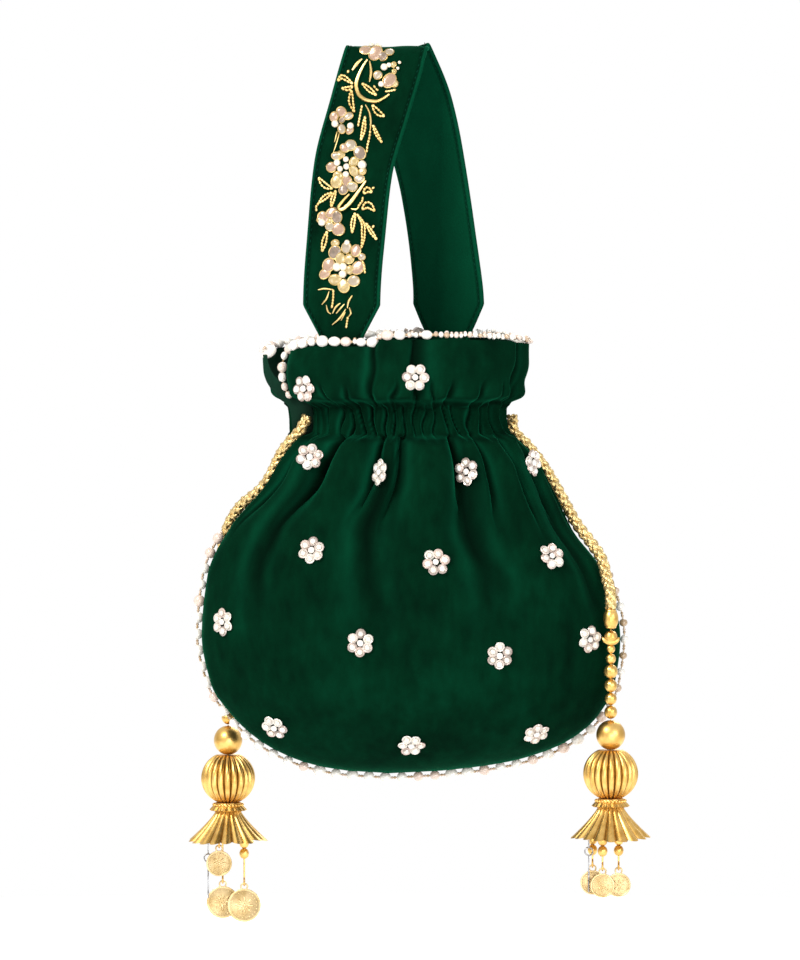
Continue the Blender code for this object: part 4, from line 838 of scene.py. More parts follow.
@dataclass
class PearlEdging:
    """Pearls and small crystals on the seam and on both rims."""

    front: PouchPanel
    back: PouchPanel
    seam_pearl: float = 6.2 * MM
    seam_pitch: float = 8.6 * MM
    overlap: float = 0.7 * MM
    rim_pearl: float = 4.4 * MM
    seed: float = 0.8 * MM
    slit_points: int = 8
    seat: float = 0.2 * MM

    def seam_path(self) -> list[Vector]:
        """Return the line of pearls round the sides and the bottom."""
        offset = self.seam_pearl / 2 - self.overlap
        steps = 70
        left_top, right_top, bottom = -250.0, -262.0, self.front.bottom
        line = []
        for step in range(steps + 1):
            share = 1 - math.sin(step / steps * math.pi / 2)
            line.append(self.front.point(0.0, bottom + (left_top - bottom) * share))
        for step in range(steps - 1, -1, -1):
            share = 1 - math.sin(step / steps * math.pi / 2)
            line.append(self.front.point(1.0, bottom + (right_top - bottom) * share))
        moved = []
        for index, point in enumerate(line):
            along = (line[min(index + 1, len(line) - 1)] - line[max(index - 1, 0)]).normalized()
            moved.append(Vector((point.x, 0.0, point.z)) + Vector((along.z, 0.0, -along.x)) * offset)
        return moved

    def rim_path(self, panel: PouchPanel) -> list[Vector]:
        """Return the line of beads up one slit edge, along the rim and down the other."""
        lift = self.rim_pearl / 2 + self.seat
        y = panel.side.value * lift

        def slit(across: float, outwards: float) -> list[Vector]:
            """Return the points up one slit edge and round its corner."""
            points = []
            for step in range(7):
                edge = panel.point(across, -178.0 + (panel.rim + 178.0) * step / 6)
                points.append(Vector((edge.x + outwards * lift, y, edge.z)))
            points.append(Vector((edge.x + outwards * lift * 0.78, y, edge.z + lift * 0.78)))
            return points

        path = slit(0.0, -1.0)
        for step in range(71):
            across = step / 70
            wall = (panel.point(across, panel.rim) + panel.point(across, panel.rim, True)) / 2
            path.append(Vector((wall.x, panel.side.value * max(abs(wall.y), lift), wall.z + lift)))
        path.extend(reversed(slit(1.0, 1.0)))
        return path

    def build_seam(self, wardrobe: Wardrobe) -> None:
        """Model the seam's pearls with a seed bead on each side of every pearl."""
        mould = Mould()
        draw = random.Random(11)
        path = self.seam_path()
        lengths = lengths_along(path)
        count = round(lengths[-1] / self.seam_pitch)
        pitch = lengths[-1] / count
        for bead in range(count):
            middle = (bead + 0.5) * pitch
            place = point_at(path, lengths, middle)
            along = point_at(path, lengths, middle + MM) - point_at(path, lengths, middle - MM)
            turn = turn_to(along)
            size = self.seam_pearl / 2 * draw.uniform(0.80, 1.06)
            tone = draw.choice((0.95, 0.8, 0.7, 0.62, 0.35))
            if bead > count * 0.80:
                tone = draw.choice((0.62, 0.12, 0.05, 0.2))
                size *= 0.72
            mould.ball(place, (size, size, size * draw.uniform(0.95, 1.15)), turn, tone)
            for offset in (-0.42, 0.42):
                seed_place = point_at(path, lengths, min(max(middle + offset * pitch, 0.0), lengths[-1]))
                mould.ball(seed_place, (self.seed,) * 3, turn, draw.choice((0.05, 0.2, 0.0)), 2)
        mould.tube(path, lambda share: 0.45 * MM)
        mould.finish("seam_pearl_string", (wardrobe.pearl,), "bag", ("seam_pearls",))

    def build_rim(self, panel: PouchPanel, node: str, seed: int, wardrobe: Wardrobe) -> None:
        """Model one rim's mixed pearls, crystals and seed beads."""
        mould = Mould()
        draw = random.Random(seed)
        has_slit = panel.side is Side.FRONT
        path = self.rim_path(panel)[0 if has_slit else self.slit_points - 1:1 - self.slit_points]
        lengths = lengths_along(path)
        slit_end = lengths[self.slit_points - 1] if has_slit else 0.0
        full = slit_end + (lengths[-1] - slit_end) * 0.36
        distance = 0.0
        while distance < lengths[-1]:
            on_slit = distance < slit_end
            large = on_slit or draw.random() < (0.62 if distance < full else 0.10)
            if on_slit:
                size = self.rim_pearl / 2 * draw.uniform(0.7, 1.25)
            else:
                size = self.rim_pearl / 2 * (draw.uniform(1.0, 1.42) if large else draw.uniform(0.5, 0.8))
            distance += size * 0.9
            place = point_at(path, lengths, distance)
            along = point_at(path, lengths, distance + MM) - point_at(path, lengths, distance - MM)
            tone = draw.choice((0.95, 0.85, 0.75, 0.40)) if large else draw.choice((0.62, 0.4, 0.3, 0.7, 0.1))
            shape = (size, size, size * (draw.uniform(1.0, 1.3) if large else 0.9))
            if not large:
                place = place + Vector((0.0, 0.0, draw.uniform(-0.5, 0.4) * MM))
            mould.ball(place, shape, turn_to(along), tone, 3 if large else 2)
            if not large:
                aside = place + Vector((0.0, -panel.side.value * draw.uniform(1.5, 2.4) * MM, draw.uniform(0.4, 1.3) * MM))
                mould.ball(aside, (size * 0.75,) * 3, turn_to(along), draw.choice((0.3, 0.5, 0.7, 0.1)), 2)
            distance += size * 0.9 + (draw.uniform(0.8, 2.4) * MM if on_slit else 0.0)
            if large and not on_slit:
                spot = point_at(path, lengths, distance + self.seed)
                mould.ball(spot, (self.seed,) * 3, tone=draw.choice((0.0, 0.05, 0.12)), fine=2)
                distance += 1.7 * self.seed
        if not has_slit:
            corner = path[1] + Vector((1.6, 0.4, -0.8)) * MM
            mould.ball(corner, (4.6 * MM, 1.6 * MM, 3.2 * MM), Matrix.Rotation(-0.5, 4, "Y"), 0.95)
        mould.tube(path, lambda share: 0.4 * MM)
        mould.finish(f"{node}_beads", (wardrobe.pearl,), "bag", (node,))


@dataclass
class BeadFlowers:
    """Six ringed pearls round a seventh, sewn on the velvet."""

    panel: PouchPanel
    petals: int = 6
    reach: float = 4.5 * MM
    ring: float = 2.15 * MM
    ring_wire: float = 0.55 * MM
    pearl: float = 1.75 * MM

    def seat(self, x: float, z: float) -> Matrix:
        """Return a frame on the velvet whose Z points out of it."""
        out = self.panel.normal(x, z)
        place = self.panel.surface(x, z)
        lift = 0.0
        for step in range(12):
            angle = math.pi * step / 6
            around = self.panel.surface(x + 5.5 * MM * math.cos(angle), z + 5.5 * MM * math.sin(angle))
            lift = max(lift, (around - place).dot(out))
        side = Vector((1.0, 0.0, 0.0))
        up = out.cross(side).normalized()
        turn = Matrix((up.cross(out), up, out)).transposed().to_4x4()
        return Matrix.Translation(place + out * (lift * 0.8 + 0.5 * MM)) @ turn

    def build_flower(self, mould: Mould, seat: Matrix, draw: random.Random) -> None:
        """Add one flower to a mesh."""
        spin = draw.uniform(0.0, 1.0)
        places = [(0.0, 0.0)]
        for petal in range(self.petals):
            angle = 2 * math.pi * (petal + spin) / self.petals
            reach = self.reach * draw.uniform(0.93, 1.08)
            places.append((reach * math.cos(angle), reach * math.sin(angle)))
        turn = seat.to_3x3().to_4x4()
        for number, (x, y) in enumerate(places):
            size = self.pearl * draw.uniform(0.9, 1.1)
            tone = 0.95 if number == 0 else draw.choice((0.95, 0.60, 0.62, 0.9, 0.5))
            mould.ball(seat @ Vector((x, y, 0.7 * MM)), (size, size, size * 0.8), turn, tone, 2)
            if number == 0:
                continue
            tilt = turn @ Matrix.Rotation(draw.uniform(-0.25, 0.25), 4, "X")
            frame_at = Matrix.Translation(seat @ Vector((x, y, 0.35 * MM))) @ tilt
            sides = 12

            def place(around: float, share: float) -> Vector:
                """Return a point of the petal's wire ring."""
                ring_angle, wire_angle = 2 * math.pi * around, 2 * math.pi * share
                reach = self.ring + self.ring_wire * math.cos(wire_angle)
                return frame_at @ Vector((reach * math.cos(ring_angle), reach * math.sin(ring_angle),
                                          self.ring_wire * math.sin(wire_angle)))

            mould.mark(mould.grid(sides, 5, place, weld=True), draw.choice((0.12, 0.42, 0.55, 0.3)))

    def build_front(self, places: Sequence[tuple[float, float]], wardrobe: Wardrobe) -> None:
        """Model the front panel's flowers, each in its solid's place."""
        for number, (x, y) in enumerate(places, start=1):
            mould = Mould()
            node = f"booti_flower_{number:02d}"
            low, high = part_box(node)
            middle = (low + high) / 2
            self.build_flower(mould, self.seat(middle.x, middle.z), random.Random(number))
            mould.finish(f"bead_flower_{number:02d}", (wardrobe.silver,), "bag", (node,))

    def build_back(self, places: Sequence[tuple[float, float]], wardrobe: Wardrobe) -> None:
        """Model the other panel's flowers as one piece."""
        mould = Mould()
        draw = random.Random(77)
        for x, z in places:
            self.build_flower(mould, self.seat(x * MM, z * MM), draw)
        mould.finish("back_bead_flowers", (wardrobe.silver,), "bag", ())


# ---- the strap


@dataclass
class StrapHandle:
    """The folded velvet band, with turned edges and a row of stitches along each."""

    width: float = 42.0
    thickness: float = 2.6
    columns: int = 64
    rows: int = 230
    stitch_inset: float = 2.4
    stitch_pitch: float = 3.0 * MM
    # painted light on the inner face, which the lamps leave in shade
    inner_painted_light: float = 0.42
    flat_size: tuple[float, float] = (0.042, 0.345)
    places: tuple[tuple[float, float, float], ...] = (
        (-25.0, -17.76, -164.0), (-25.0, -17.76, -146.3), (-25.0, -17.76, -131.0), (-22.5, -17.58, -94.1),
        (-19.0, -16.52, -60.89), (-10.5, -13.14, -28.91), (-4.5, -9.3, -8.0), (-2.5, -6.6, -1.4), (-1.0, 0.0, 1.3),
        (0.61, 6.6, -1.4), (3.66, 9.3, -8.0), (12.81, 12.72, -28.91), (21.35, 16.57, -60.89), (26.84, 18.69, -94.1),
        (30.5, 19.27, -131.0), (30.5, 19.27, -146.3), (30.5, 19.27, -164.0))
    end_widths: tuple[float, float] = (13.0, 25.0)
    turns: tuple[float, ...] = (-18.0, -18.0, -18.0, -16.2, -12.6, -6.3, 0, 0, 0, 0, -2.0, -15.0, -30.0, -34.0, -29.0,
                                -20.0, -12.0)

    def __post_init__(self) -> None:
        """Lay out the band's middle line."""
        self.line = [Vector(place) * MM for place in self.places]
        self.lengths = lengths_along(self.line)

    def spine(self, share: float) -> tuple[Vector, Vector, Vector, float]:
        """Return the middle, the direction across, the direction out and the width at a share along."""
        distance = share * self.lengths[-1]

        def at(where: float) -> Vector:
            """Return the middle line at a distance."""
            where = min(max(where, 0.0), self.lengths[-1])
            return Vector([between(self.lengths, [point[axis] for point in self.line], where) for axis in range(3)])

        along = (at(distance + 0.4 * MM) - at(distance - 0.4 * MM)).normalized()
        angle = math.radians(between(self.lengths, self.turns, distance))
        across = Vector((math.cos(angle), math.sin(angle), 0.0))
        across = (across - along * across.dot(along)).normalized()
        ends = (self.end_widths[0], self.end_widths[1], self.width)
        widths = (*ends, *reversed(ends))
        knots = (*self.lengths[:3], *self.lengths[-3:])
        width = self.width
        for low, high, first, second in zip(knots, knots[1:], widths, widths[1:]):
            if low <= distance <= high:
                width = first + (second - first) * (distance - low) / (high - low)
        return at(distance), across, across.cross(along), width

    def front_face(self, x: float, z: float) -> tuple[Vector, Vector, Vector]:
        """Return the place, the direction across and the direction out on the front limb.

        Args:
            x: The place's X in metres.
            z: The place's height in metres.

        Returns:
            The point on the band's outer face, and the two directions.
        """
        low, high = 0.0, self.lengths[8] / self.lengths[-1]
        for _ in range(22):
            middle = (low + high) / 2
            if self.spine(middle)[0].z < z:
                low = middle
            else:
                high = middle
        place, across, out, _ = self.spine(low)
        if out.y > 0:
            out.negate()
        aside = (x - place.x) / max(across.x, 0.2)
        return place + across * aside + out * (self.thickness / 2 * MM), across, out

    def section(self, share: float, width: float) -> tuple[float, float]:
        """Return a place round the band's outline, with soft turned edges and a stitched groove."""
        half, thick = width / 2, self.thickness / 2
        quarter = 4.0 * share
        face = int(min(quarter, 3.999))
        at = quarter - face
        if face in (1, 3):
            angle = math.pi * (at - 0.5) if face == 1 else math.pi * (at + 0.5)
            return (half - thick) * (1 if face == 1 else -1) + thick * math.cos(angle), thick * math.sin(angle)
        run = math.sin(math.pi / 2 * (2 * at - 1)) * (half - thick)
        groove = math.exp(-((abs(run) - (half - self.stitch_inset)) / 0.55) ** 2) * 0.38
        level = thick + 0.15 - groove
        return (run, -level) if face == 0 else (-run, level)

    def build(self, wardrobe: Wardrobe) -> bpy.types.Object:
        """Model the band and return it."""
        mould = Mould()
        made = mould.grid(self.columns * 2, self.rows, lambda u, v: Vector((u, v, 0.0)))
        for vert in made:
            around, along = 0.0 if vert.co.x > 0.9999 else vert.co.x, vert.co.y
            middle, across, out, width = self.spine(along)
            u, v = self.section(around, width)
            edge = abs(u) - (width / 2 - self.stitch_inset)
            # painted shade in the stitched groove along each edge
            vert[mould.crease_shade] = math.exp(-(edge / 0.6) ** 2) * 0.8
            # painted highlight on the rolled edges, and painted light on the whole inner face
            vert[mould.tone] = max(0.6 * ease((edge - 0.6) / 0.8), self.inner_painted_light if v < 0 else 0.0)
            ripple = noise.noise(Vector((u * 0.06, along * 16.0, 3.0))) * 0.5
            vert.co = middle + across * (u * MM) + out * ((v + ripple) * MM)
        bmesh.ops.remove_doubles(mould.bm, verts=made, dist=0.000002)
        open_edges = [edge for edge in mould.bm.edges if edge.is_boundary]
        bmesh.ops.holes_fill(mould.bm, edges=open_edges, sides=0)
        strap = mould.finish("velvet_strap", (wardrobe.velvet,), "bag", ("handle_strap",), 60.0)
        return strap

    def build_stitches(self, wardrobe: Wardrobe) -> None:
        """Model the rows of stitches along both edges of both faces."""
        mould = Mould()
        count = int(self.lengths[-1] / self.stitch_pitch)
        for step in range(6, count - 5):
            share = (step + 0.5) / count
            middle, across, out, width = self.spine(share)
            ahead = self.spine(share + 0.4 / count)[0] - self.spine(share - 0.4 / count)[0]
            for edge in (-1, 1):
                for face in (-1, 1):
                    aside = edge * (width / 2 - self.stitch_inset) * MM
                    place = middle + across * aside + out * (face * (self.thickness / 2 - 0.05) * MM)
                    mould.ball(place, (0.28 * MM, 0.28 * MM, 0.85 * MM), turn_to(ahead), 0.0, 1)
        mould.finish("strap_stitches", (wardrobe.stitch,), "bag", ())


@dataclass(frozen=True)
class Bead:
    """A bead or petal of the embroidery: its place and radius in the photograph's pixels."""

    x: float
    y: float
    radius: float
    kind: BeadKind
    node: str


@dataclass(frozen=True)
class Sprig:
    """A line of wire work through places in the photograph's pixels."""

    kind: SprigKind
    places: tuple[tuple[float, float], ...]
    width: float = 0.0
    node: str = ""


def petals_of(node: str, scale: float, left: float, top: float,
              rows: Sequence[tuple[float, float, float, BeadKind]]) -> list[Bead]:
    """Return the beads of one flower, from places measured on an enlarged crop.

    Args:
        node: The solid that the flower stands for.
        scale: How many times the crop is enlarged.
        left: The crop's left edge in the photograph.
        top: The crop's top edge in the photograph.
        rows: Place, radius and kind of each bead on the crop.

    Returns:
        The beads.
    """
    return [Bead(left + x / scale, top + y / scale, radius / scale, kind, node) for x, y, radius, kind in rows]


P, K, S, G, M = (BeadKind.PEARL, BeadKind.PINK_SHELL, BeadKind.SILVER_SHELL, BeadKind.GOLD_SHELL,
                 BeadKind.SMOKE_SHELL)
UPPER_CROP = (10.45, 300.0, 35.0)
LOWER_CROP = (10.12, 300.0, 180.0)
STRAP_BEADS = (
    petals_of("strap_flower_top", *UPPER_CROP, (
        (750, 172, 30, P), (820, 182, 34, P), (900, 140, 32, P), (960, 122, 28, K), (688, 240, 50, K),
        (790, 245, 62, K), (932, 212, 44, S), (868, 255, 40, M)))
    + petals_of("strap_flower_upper", *UPPER_CROP, (
        (880, 352, 34, P), (930, 322, 24, P), (980, 306, 22, G), (1040, 275, 16, P), (1022, 330, 16, P),
        (815, 445, 38, S), (850, 522, 28, P), (985, 365, 18, G), (935, 465, 62, K), (985, 478, 34, G)))
    + petals_of("strap_small_flower_upper", *UPPER_CROP, (
        (440, 890, 46, K), (516, 912, 36, S), (368, 958, 40, K), (378, 1022, 34, P), (446, 1052, 38, S),
        (538, 1002, 32, P), (530, 1046, 30, K), (450, 965, 26, M)))
    + petals_of("strap_flower_middle", *UPPER_CROP, (
        (500, 1395, 30, P), (494, 1326, 28, P), (434, 1426, 28, P), (494, 1472, 30, P), (576, 1334, 42, G),
        (578, 1430, 44, G), (412, 1500, 44, G), (436, 1290, 38, G), (402, 1372, 32, P), (540, 1182, 52, S),
        (636, 1236, 56, M), (480, 1222, 40, K), (662, 1352, 42, P), (342, 1422, 46, K), (396, 1312, 40, S),
        (632, 1498, 44, S), (664, 1416, 34, G), (398, 1556, 54, G), (504, 1540, 48, K), (560, 1590, 46, S),
        (470, 1628, 44, M)))
    + petals_of("strap_small_flower_lower", *LOWER_CROP, (
        (250, 404, 52, K), (334, 348, 46, K), (388, 388, 50, M), (318, 486, 40, S), (402, 506, 56, K),
        (240, 452, 34, P), (222, 430, 28, G), (318, 430, 24, G)))
    + petals_of("strap_flower_lower", *LOWER_CROP, (
        (455, 876, 36, P), (450, 950, 36, P), (426, 800, 46, G), (512, 792, 44, G), (392, 884, 40, P),
        (520, 902, 38, G), (368, 740, 58, M), (484, 684, 46, S), (582, 704, 48, K), (602, 870, 60, K),
        (306, 872, 58, K), (270, 958, 46, K), (372, 1012, 52, G), (458, 1064, 56, G), (560, 1010, 50, S),
        (494, 632, 26, P), (372, 648, 32, G), (640, 760, 30, S)))
)


def crop_line(kind: SprigKind, crop: tuple[float, float, float], *places: tuple[float, float],
              width: float = 0.0, node: str = "") -> Sprig:
    """Return a sprig from places measured on an enlarged crop."""
    scale, left, top = crop
    return Sprig(kind, tuple((left + x / scale, top + y / scale) for x, y in places), width, node)


BEADED, LEAF, COIL = SprigKind.BEADED, SprigKind.LEAF, SprigKind.COIL
STRAP_SPRIGS = (
    crop_line(COIL, UPPER_CROP, (705, 325), (660, 400), (615, 500), (592, 590), (625, 680), (710, 712), (800, 700),
              (880, 650), (935, 600), width=2.5, node="strap_crescent_leaf"),
    crop_line(COIL, LOWER_CROP, (680, 0), (590, 140), (500, 260), (430, 310), (408, 292), (450, 225), (515, 150),
              width=2.5, node="strap_leaf_pair"),
    crop_line(COIL, UPPER_CROP, (730, 330), (745, 430), (730, 530), width=1.7),
    crop_line(COIL, UPPER_CROP, (650, 330), (600, 390), (550, 465), width=2.2),
    crop_line(LEAF, UPPER_CROP, (650, 560), (725, 600), (805, 640), width=2.0),
    crop_line(LEAF, UPPER_CROP, (400, 600), (450, 550), (560, 590), width=1.8),
    crop_line(LEAF, UPPER_CROP, (440, 660), (500, 650), (560, 610), width=1.4),
    crop_line(LEAF, UPPER_CROP, (545, 650), (540, 750), (575, 860), width=2.2),
    crop_line(LEAF, UPPER_CROP, (760, 740), (820, 800), (890, 820), width=2.6),
    crop_line(BEADED, UPPER_CROP, (895, 580), (950, 560), (1000, 535)),
    crop_line(BEADED, UPPER_CROP, (770, 550), (800, 580), (825, 590)),
    crop_line(BEADED, UPPER_CROP, (515, 470), (500, 500)),
    crop_line(COIL, UPPER_CROP, (690, 755), (735, 830), (748, 910), (742, 990), width=1.3),
    crop_line(BEADED, UPPER_CROP, (742, 990), (735, 1060), (715, 1140), (706, 1215)),
    crop_line(BEADED, UPPER_CROP, (655, 770), (638, 860), (615, 985)),
    crop_line(LEAF, UPPER_CROP, (688, 870), (675, 990), (645, 1110), width=1.5),
    crop_line(LEAF, UPPER_CROP, (770, 930), (805, 1000), (865, 1080), width=1.3),
    crop_line(COIL, UPPER_CROP, (400, 1085), (372, 1190), width=0.9),
    crop_line(COIL, UPPER_CROP, (425, 1085), (395, 1190), (358, 1292), width=0.9),
    crop_line(LEAF, LOWER_CROP, (200, 20), (270, 90), (345, 112), width=2.4),
    crop_line(LEAF, LOWER_CROP, (340, 150), (265, 205), (205, 262), width=1.8),
    crop_line(BEADED, LOWER_CROP, (205, 262), (180, 300), (182, 345)),
    crop_line(LEAF, LOWER_CROP, (378, 125), (350, 200), (330, 290), width=1.6),
    crop_line(LEAF, LOWER_CROP, (655, 130), (700, 85), (740, 110), width=2.4),
    crop_line(BEADED, LOWER_CROP, (735, 75), (768, 50)),
    crop_line(BEADED, LOWER_CROP, (650, 165), (640, 210), (600, 265)),
    crop_line(LEAF, LOWER_CROP, (640, 290), (700, 240), (770, 295), width=3.0),
    crop_line(COIL, LOWER_CROP, (530, 292), (570, 296), (610, 270), width=1.1),
    crop_line(LEAF, LOWER_CROP, (572, 330), (550, 430), (542, 532), width=1.7),
    crop_line(LEAF, LOWER_CROP, (590, 340), (655, 450), (655, 560), (635, 672), width=1.6),
    crop_line(LEAF, LOWER_CROP, (680, 420), (730, 500), (790, 580), width=1.4),
    crop_line(BEADED, LOWER_CROP, (765, 435), (740, 470)),
    crop_line(LEAF, LOWER_CROP, (290, 535), (262, 640), (240, 745), width=2.0),
    crop_line(BEADED, LOWER_CROP, (645, 800), (665, 860), (672, 925)),
    crop_line(COIL, LOWER_CROP, (200, 1118), (270, 1104), (350, 1110), width=1.2),
    crop_line(BEADED, LOWER_CROP, (355, 1110), (352, 1200), (338, 1290)),
    crop_line(COIL, LOWER_CROP, (310, 1130), (285, 1200), (238, 1256), width=1.2),
    crop_line(COIL, LOWER_CROP, (282, 1262), (302, 1330), (330, 1350), width=1.1),
    crop_line(COIL, LOWER_CROP, (345, 1345), (372, 1290), (425, 1240), width=1.2),
    crop_line(COIL, LOWER_CROP, (465, 1250), (420, 1300), (382, 1345), width=1.1),
    crop_line(COIL, LOWER_CROP, (545, 1160), (505, 1230), (495, 1290), width=1.3),
    crop_line(COIL, LOWER_CROP, (480, 1300), (420, 1390), (342, 1460), width=1.3),
    crop_line(COIL, LOWER_CROP, (475, 1330), (430, 1415), width=0.9),
    crop_line(COIL, LOWER_CROP, (515, 1285), (530, 1340), (505, 1380), width=1.2),
    crop_line(BEADED, LOWER_CROP, (500, 1380), (490, 1440), (482, 1492)),
)


@dataclass
class StrapEmbroidery:
    """Shell flowers, pearls and gold wire sprigs on the strap's outer face."""

    strap: StrapHandle
    bead_height: float = 1.1
    gain: float = 1.12
    rice: float = 1.6 * MM
    wire_gain: float = 1.6
    leaf_gain: float = 0.95

    def seat(self, x: float, y: float, lift: float) -> tuple[Vector, Matrix]:
        """Return a place above the strap's face and the turn that lays a bead flat on it."""
        place, across, out = self.strap.front_face(*photo_place(x, y))
        turn = Matrix((across, out.cross(across), out)).transposed().to_4x4()
        return place + out * lift, turn

    def build_flowers(self, wardrobe: Wardrobe) -> None:
        """Model each flower as one piece in its solid's place."""
        for node in sorted({bead.node for bead in STRAP_BEADS}):
            mould = Mould()
            draw = random.Random(len(node) * 7)
            beads = [bead for bead in STRAP_BEADS if bead.node == node]
            for order, bead in enumerate(beads):
                radius = bead.radius * PIXEL * MM * self.gain
                pearl = bead.kind is BeadKind.PEARL
                lift = (1.15 if pearl else 0.55 + 0.2 * (order % 3)) * MM
                place, turn = self.seat(bead.x, bead.y, lift)
                spin = Matrix.Rotation(draw.uniform(0, math.pi), 4, "Z")
                tilt = Matrix.Rotation(draw.uniform(-0.3, 0.3), 4, "X") if not pearl else Matrix.Identity(4)
                flat = radius * 0.9 if pearl else self.bead_height * MM * 0.75
                stretch = 1.0 if pearl else draw.uniform(1.0, 1.25)
                shape = (radius * stretch, radius / stretch ** 0.5, flat)
                made = mould.ball(place, shape, turn @ tilt @ spin, bead.kind.value, 3)
                if not pearl:
                    for vert in made:
                        vert.co += Vector(noise.noise_vector(vert.co * 420.0)) * (0.28 * MM)
                    lay = turn @ tilt @ spin
                    rim = [place + lay @ Vector((shape[0] * math.cos(angle), shape[1] * math.sin(angle), 0.0))
                           for angle in [2 * math.pi * step / 16 for step in range(17)]]
                    wire = mould.tube(rim, lambda share: 0.32 * MM, 5)
                    for face in {face for vert in wire for face in vert.link_faces}:
                        face.material_index = 1
            mould.finish(f"{node}_shells", (wardrobe.shell, wardrobe.bugle), "bag", (node,))

    def rice_row(self, mould: Mould, places: Sequence[tuple[float, float]], spacing: float) -> None:
        """Add a row of rice beads along a line in the photograph's pixels."""
        flat = [Vector((x, y, 0.0)) for x, y in places]
        lengths = lengths_along(flat)
        count = max(1, round(lengths[-1] * PIXEL * MM / spacing))
        for bead in range(count):
            at = (bead + 0.5) / count * lengths[-1]
            spot = point_at(flat, lengths, at)
            ahead = point_at(flat, lengths, min(at + 1.0, lengths[-1]))
            behind = point_at(flat, lengths, max(at - 1.0, 0.0))
            place, _ = self.seat(spot.x, spot.y, 0.55 * MM)
            along = self.seat(ahead.x, ahead.y, 0.55 * MM)[0] - self.seat(behind.x, behind.y, 0.55 * MM)[0]
            mould.ball(place, (0.68 * MM, 0.55 * MM, spacing * 0.62), turn_to(along), 0.5, 2)

    def leaf_sides(self, sprig: Sprig) -> list[list[tuple[float, float]]]:
        """Return the two curved sides of a leaf about its middle line."""
        points = smooth_path([Vector((x, y, 0.0)) for x, y in sprig.places], 9)
        sides = []
        for hand in (-1, 1):
            side = []
            for index, point in enumerate(points):
                along = points[min(index + 1, 8)] - points[max(index - 1, 0)]
                out = Vector((-along.y, along.x, 0.0)).normalized()
                spot = point + out * (hand * sprig.width * self.leaf_gain * math.sin(math.pi * index / 8))
                side.append((spot.x, spot.y))
            sides.append(side)
        return sides

    def coil(self, mould: Mould, sprig: Sprig) -> None:
        """Add a tapered coil of wire."""
        smooth = smooth_path([Vector((x, y, 0.0)) for x, y in sprig.places], 8 * len(sprig.places))
        radius = sprig.width * PIXEL * MM / 2 * self.wire_gain
        path = [self.seat(point.x, point.y, radius + 0.1 * MM)[0] for point in smooth]
        mould.tube(path, lambda share: radius * (0.45 + 0.55 * math.sin(math.pi * min(max(share, 0.02), 0.98))), 8,
                   1600.0)

    def build_sprigs(self, wardrobe: Wardrobe) -> None:
        """Model the two large leaves in their solids' places, and the rest as one piece."""
        for sprig in STRAP_SPRIGS:
            if sprig.node:
                mould = Mould()
                self.coil(mould, sprig)
                mould.finish(f"{sprig.node}_wire", (wardrobe.bugle,), "bag", (sprig.node,))
        mould = Mould()
        for sprig in STRAP_SPRIGS:
            if sprig.node:
                continue
            if sprig.kind is SprigKind.COIL:
                self.coil(mould, sprig)
            elif sprig.kind is SprigKind.BEADED:
                self.rice_row(mould, sprig.places, self.rice)
            else:
                for side in self.leaf_sides(sprig):
                    self.rice_row(mould, side, self.rice)
        mould.finish("strap_sprigs", (wardrobe.bugle,), "bag", ())


# ---- the cords


CORD_ROUTES = {
    "left": (
        (-43.0, -4.1, -189.0), (-44.9, -4.1, -193.1), (-47.15, -4.1, -196.88), (-50.33, -4.1, -200.16),
        (-53.29, -4.07, -203.38), (-55.55, -2.03, -206.64), (-57.57, 0.17, -210.09), (-59.4, 0.75, -214.13),
        (-61.26, 1.36, -218.14), (-63.36, 2.89, -221.76), (-65.66, 4.99, -225.1), (-68.28, 7.05, -227.99),
        (-71.34, 9.23, -230.49), (-74.5, 11.48, -232.89), (-77.38, 13.66, -235.49), (-79.81, 15.73, -238.52),
        (-82.08, 17.78, -241.9), (-84.05, 19.7, -245.52), (-85.54, 21.36, -249.3), (-86.66, 22.83, -253.34),
        (-87.56, 24.11, -257.61), (-88.23, 25.08, -261.93), (-88.83, 25.68, -266.42), (-89.19, 26.34, -270.82),
        (-88.72, 27.98, -274.72), (-87.09, 30.95, -278.28), (-85.59, 33.41, -281.89), (-85.3, 33.87, -285.92),
        (-85.3, 33.87, -290.42), (-85.3, 33.87, -295.0)),
    "right": (
        (63.5, -4.1, -189.0), (63.65, -1.47, -192.7), (63.95, -0.15, -196.2), (66.61, -0.15, -199.26),
        (69.94, -0.15, -202.32), (72.68, -0.15, -205.5), (75.35, -0.15, -208.74), (77.91, -0.15, -212.06),
        (80.29, -0.15, -215.5), (82.54, -0.15, -219.05), (84.7, -0.15, -222.65), (86.79, -0.15, -226.3),
        (88.79, -0.15, -230.01), (90.78, -0.15, -233.68), (92.77, -0.56, -237.27), (94.73, -1.88, -240.8),
        (96.77, -3.47, -244.19), (99.0, -5.02, -247.35), (101.37, -6.8, -250.35), (103.63, -8.74, -253.32),
        (105.78, -10.91, -256.25), (107.87, -13.3, -259.12), (109.58, -15.52, -262.17), (110.72, -17.22, -265.73),
        (111.57, -18.68, -269.67), (112.35, -20.75, -273.17), (113.23, -24.28, -276.13), (113.88, -27.36, -279.1),
        (114.0, -27.97, -282.67), (114.0, -27.97, -287.0)),
}


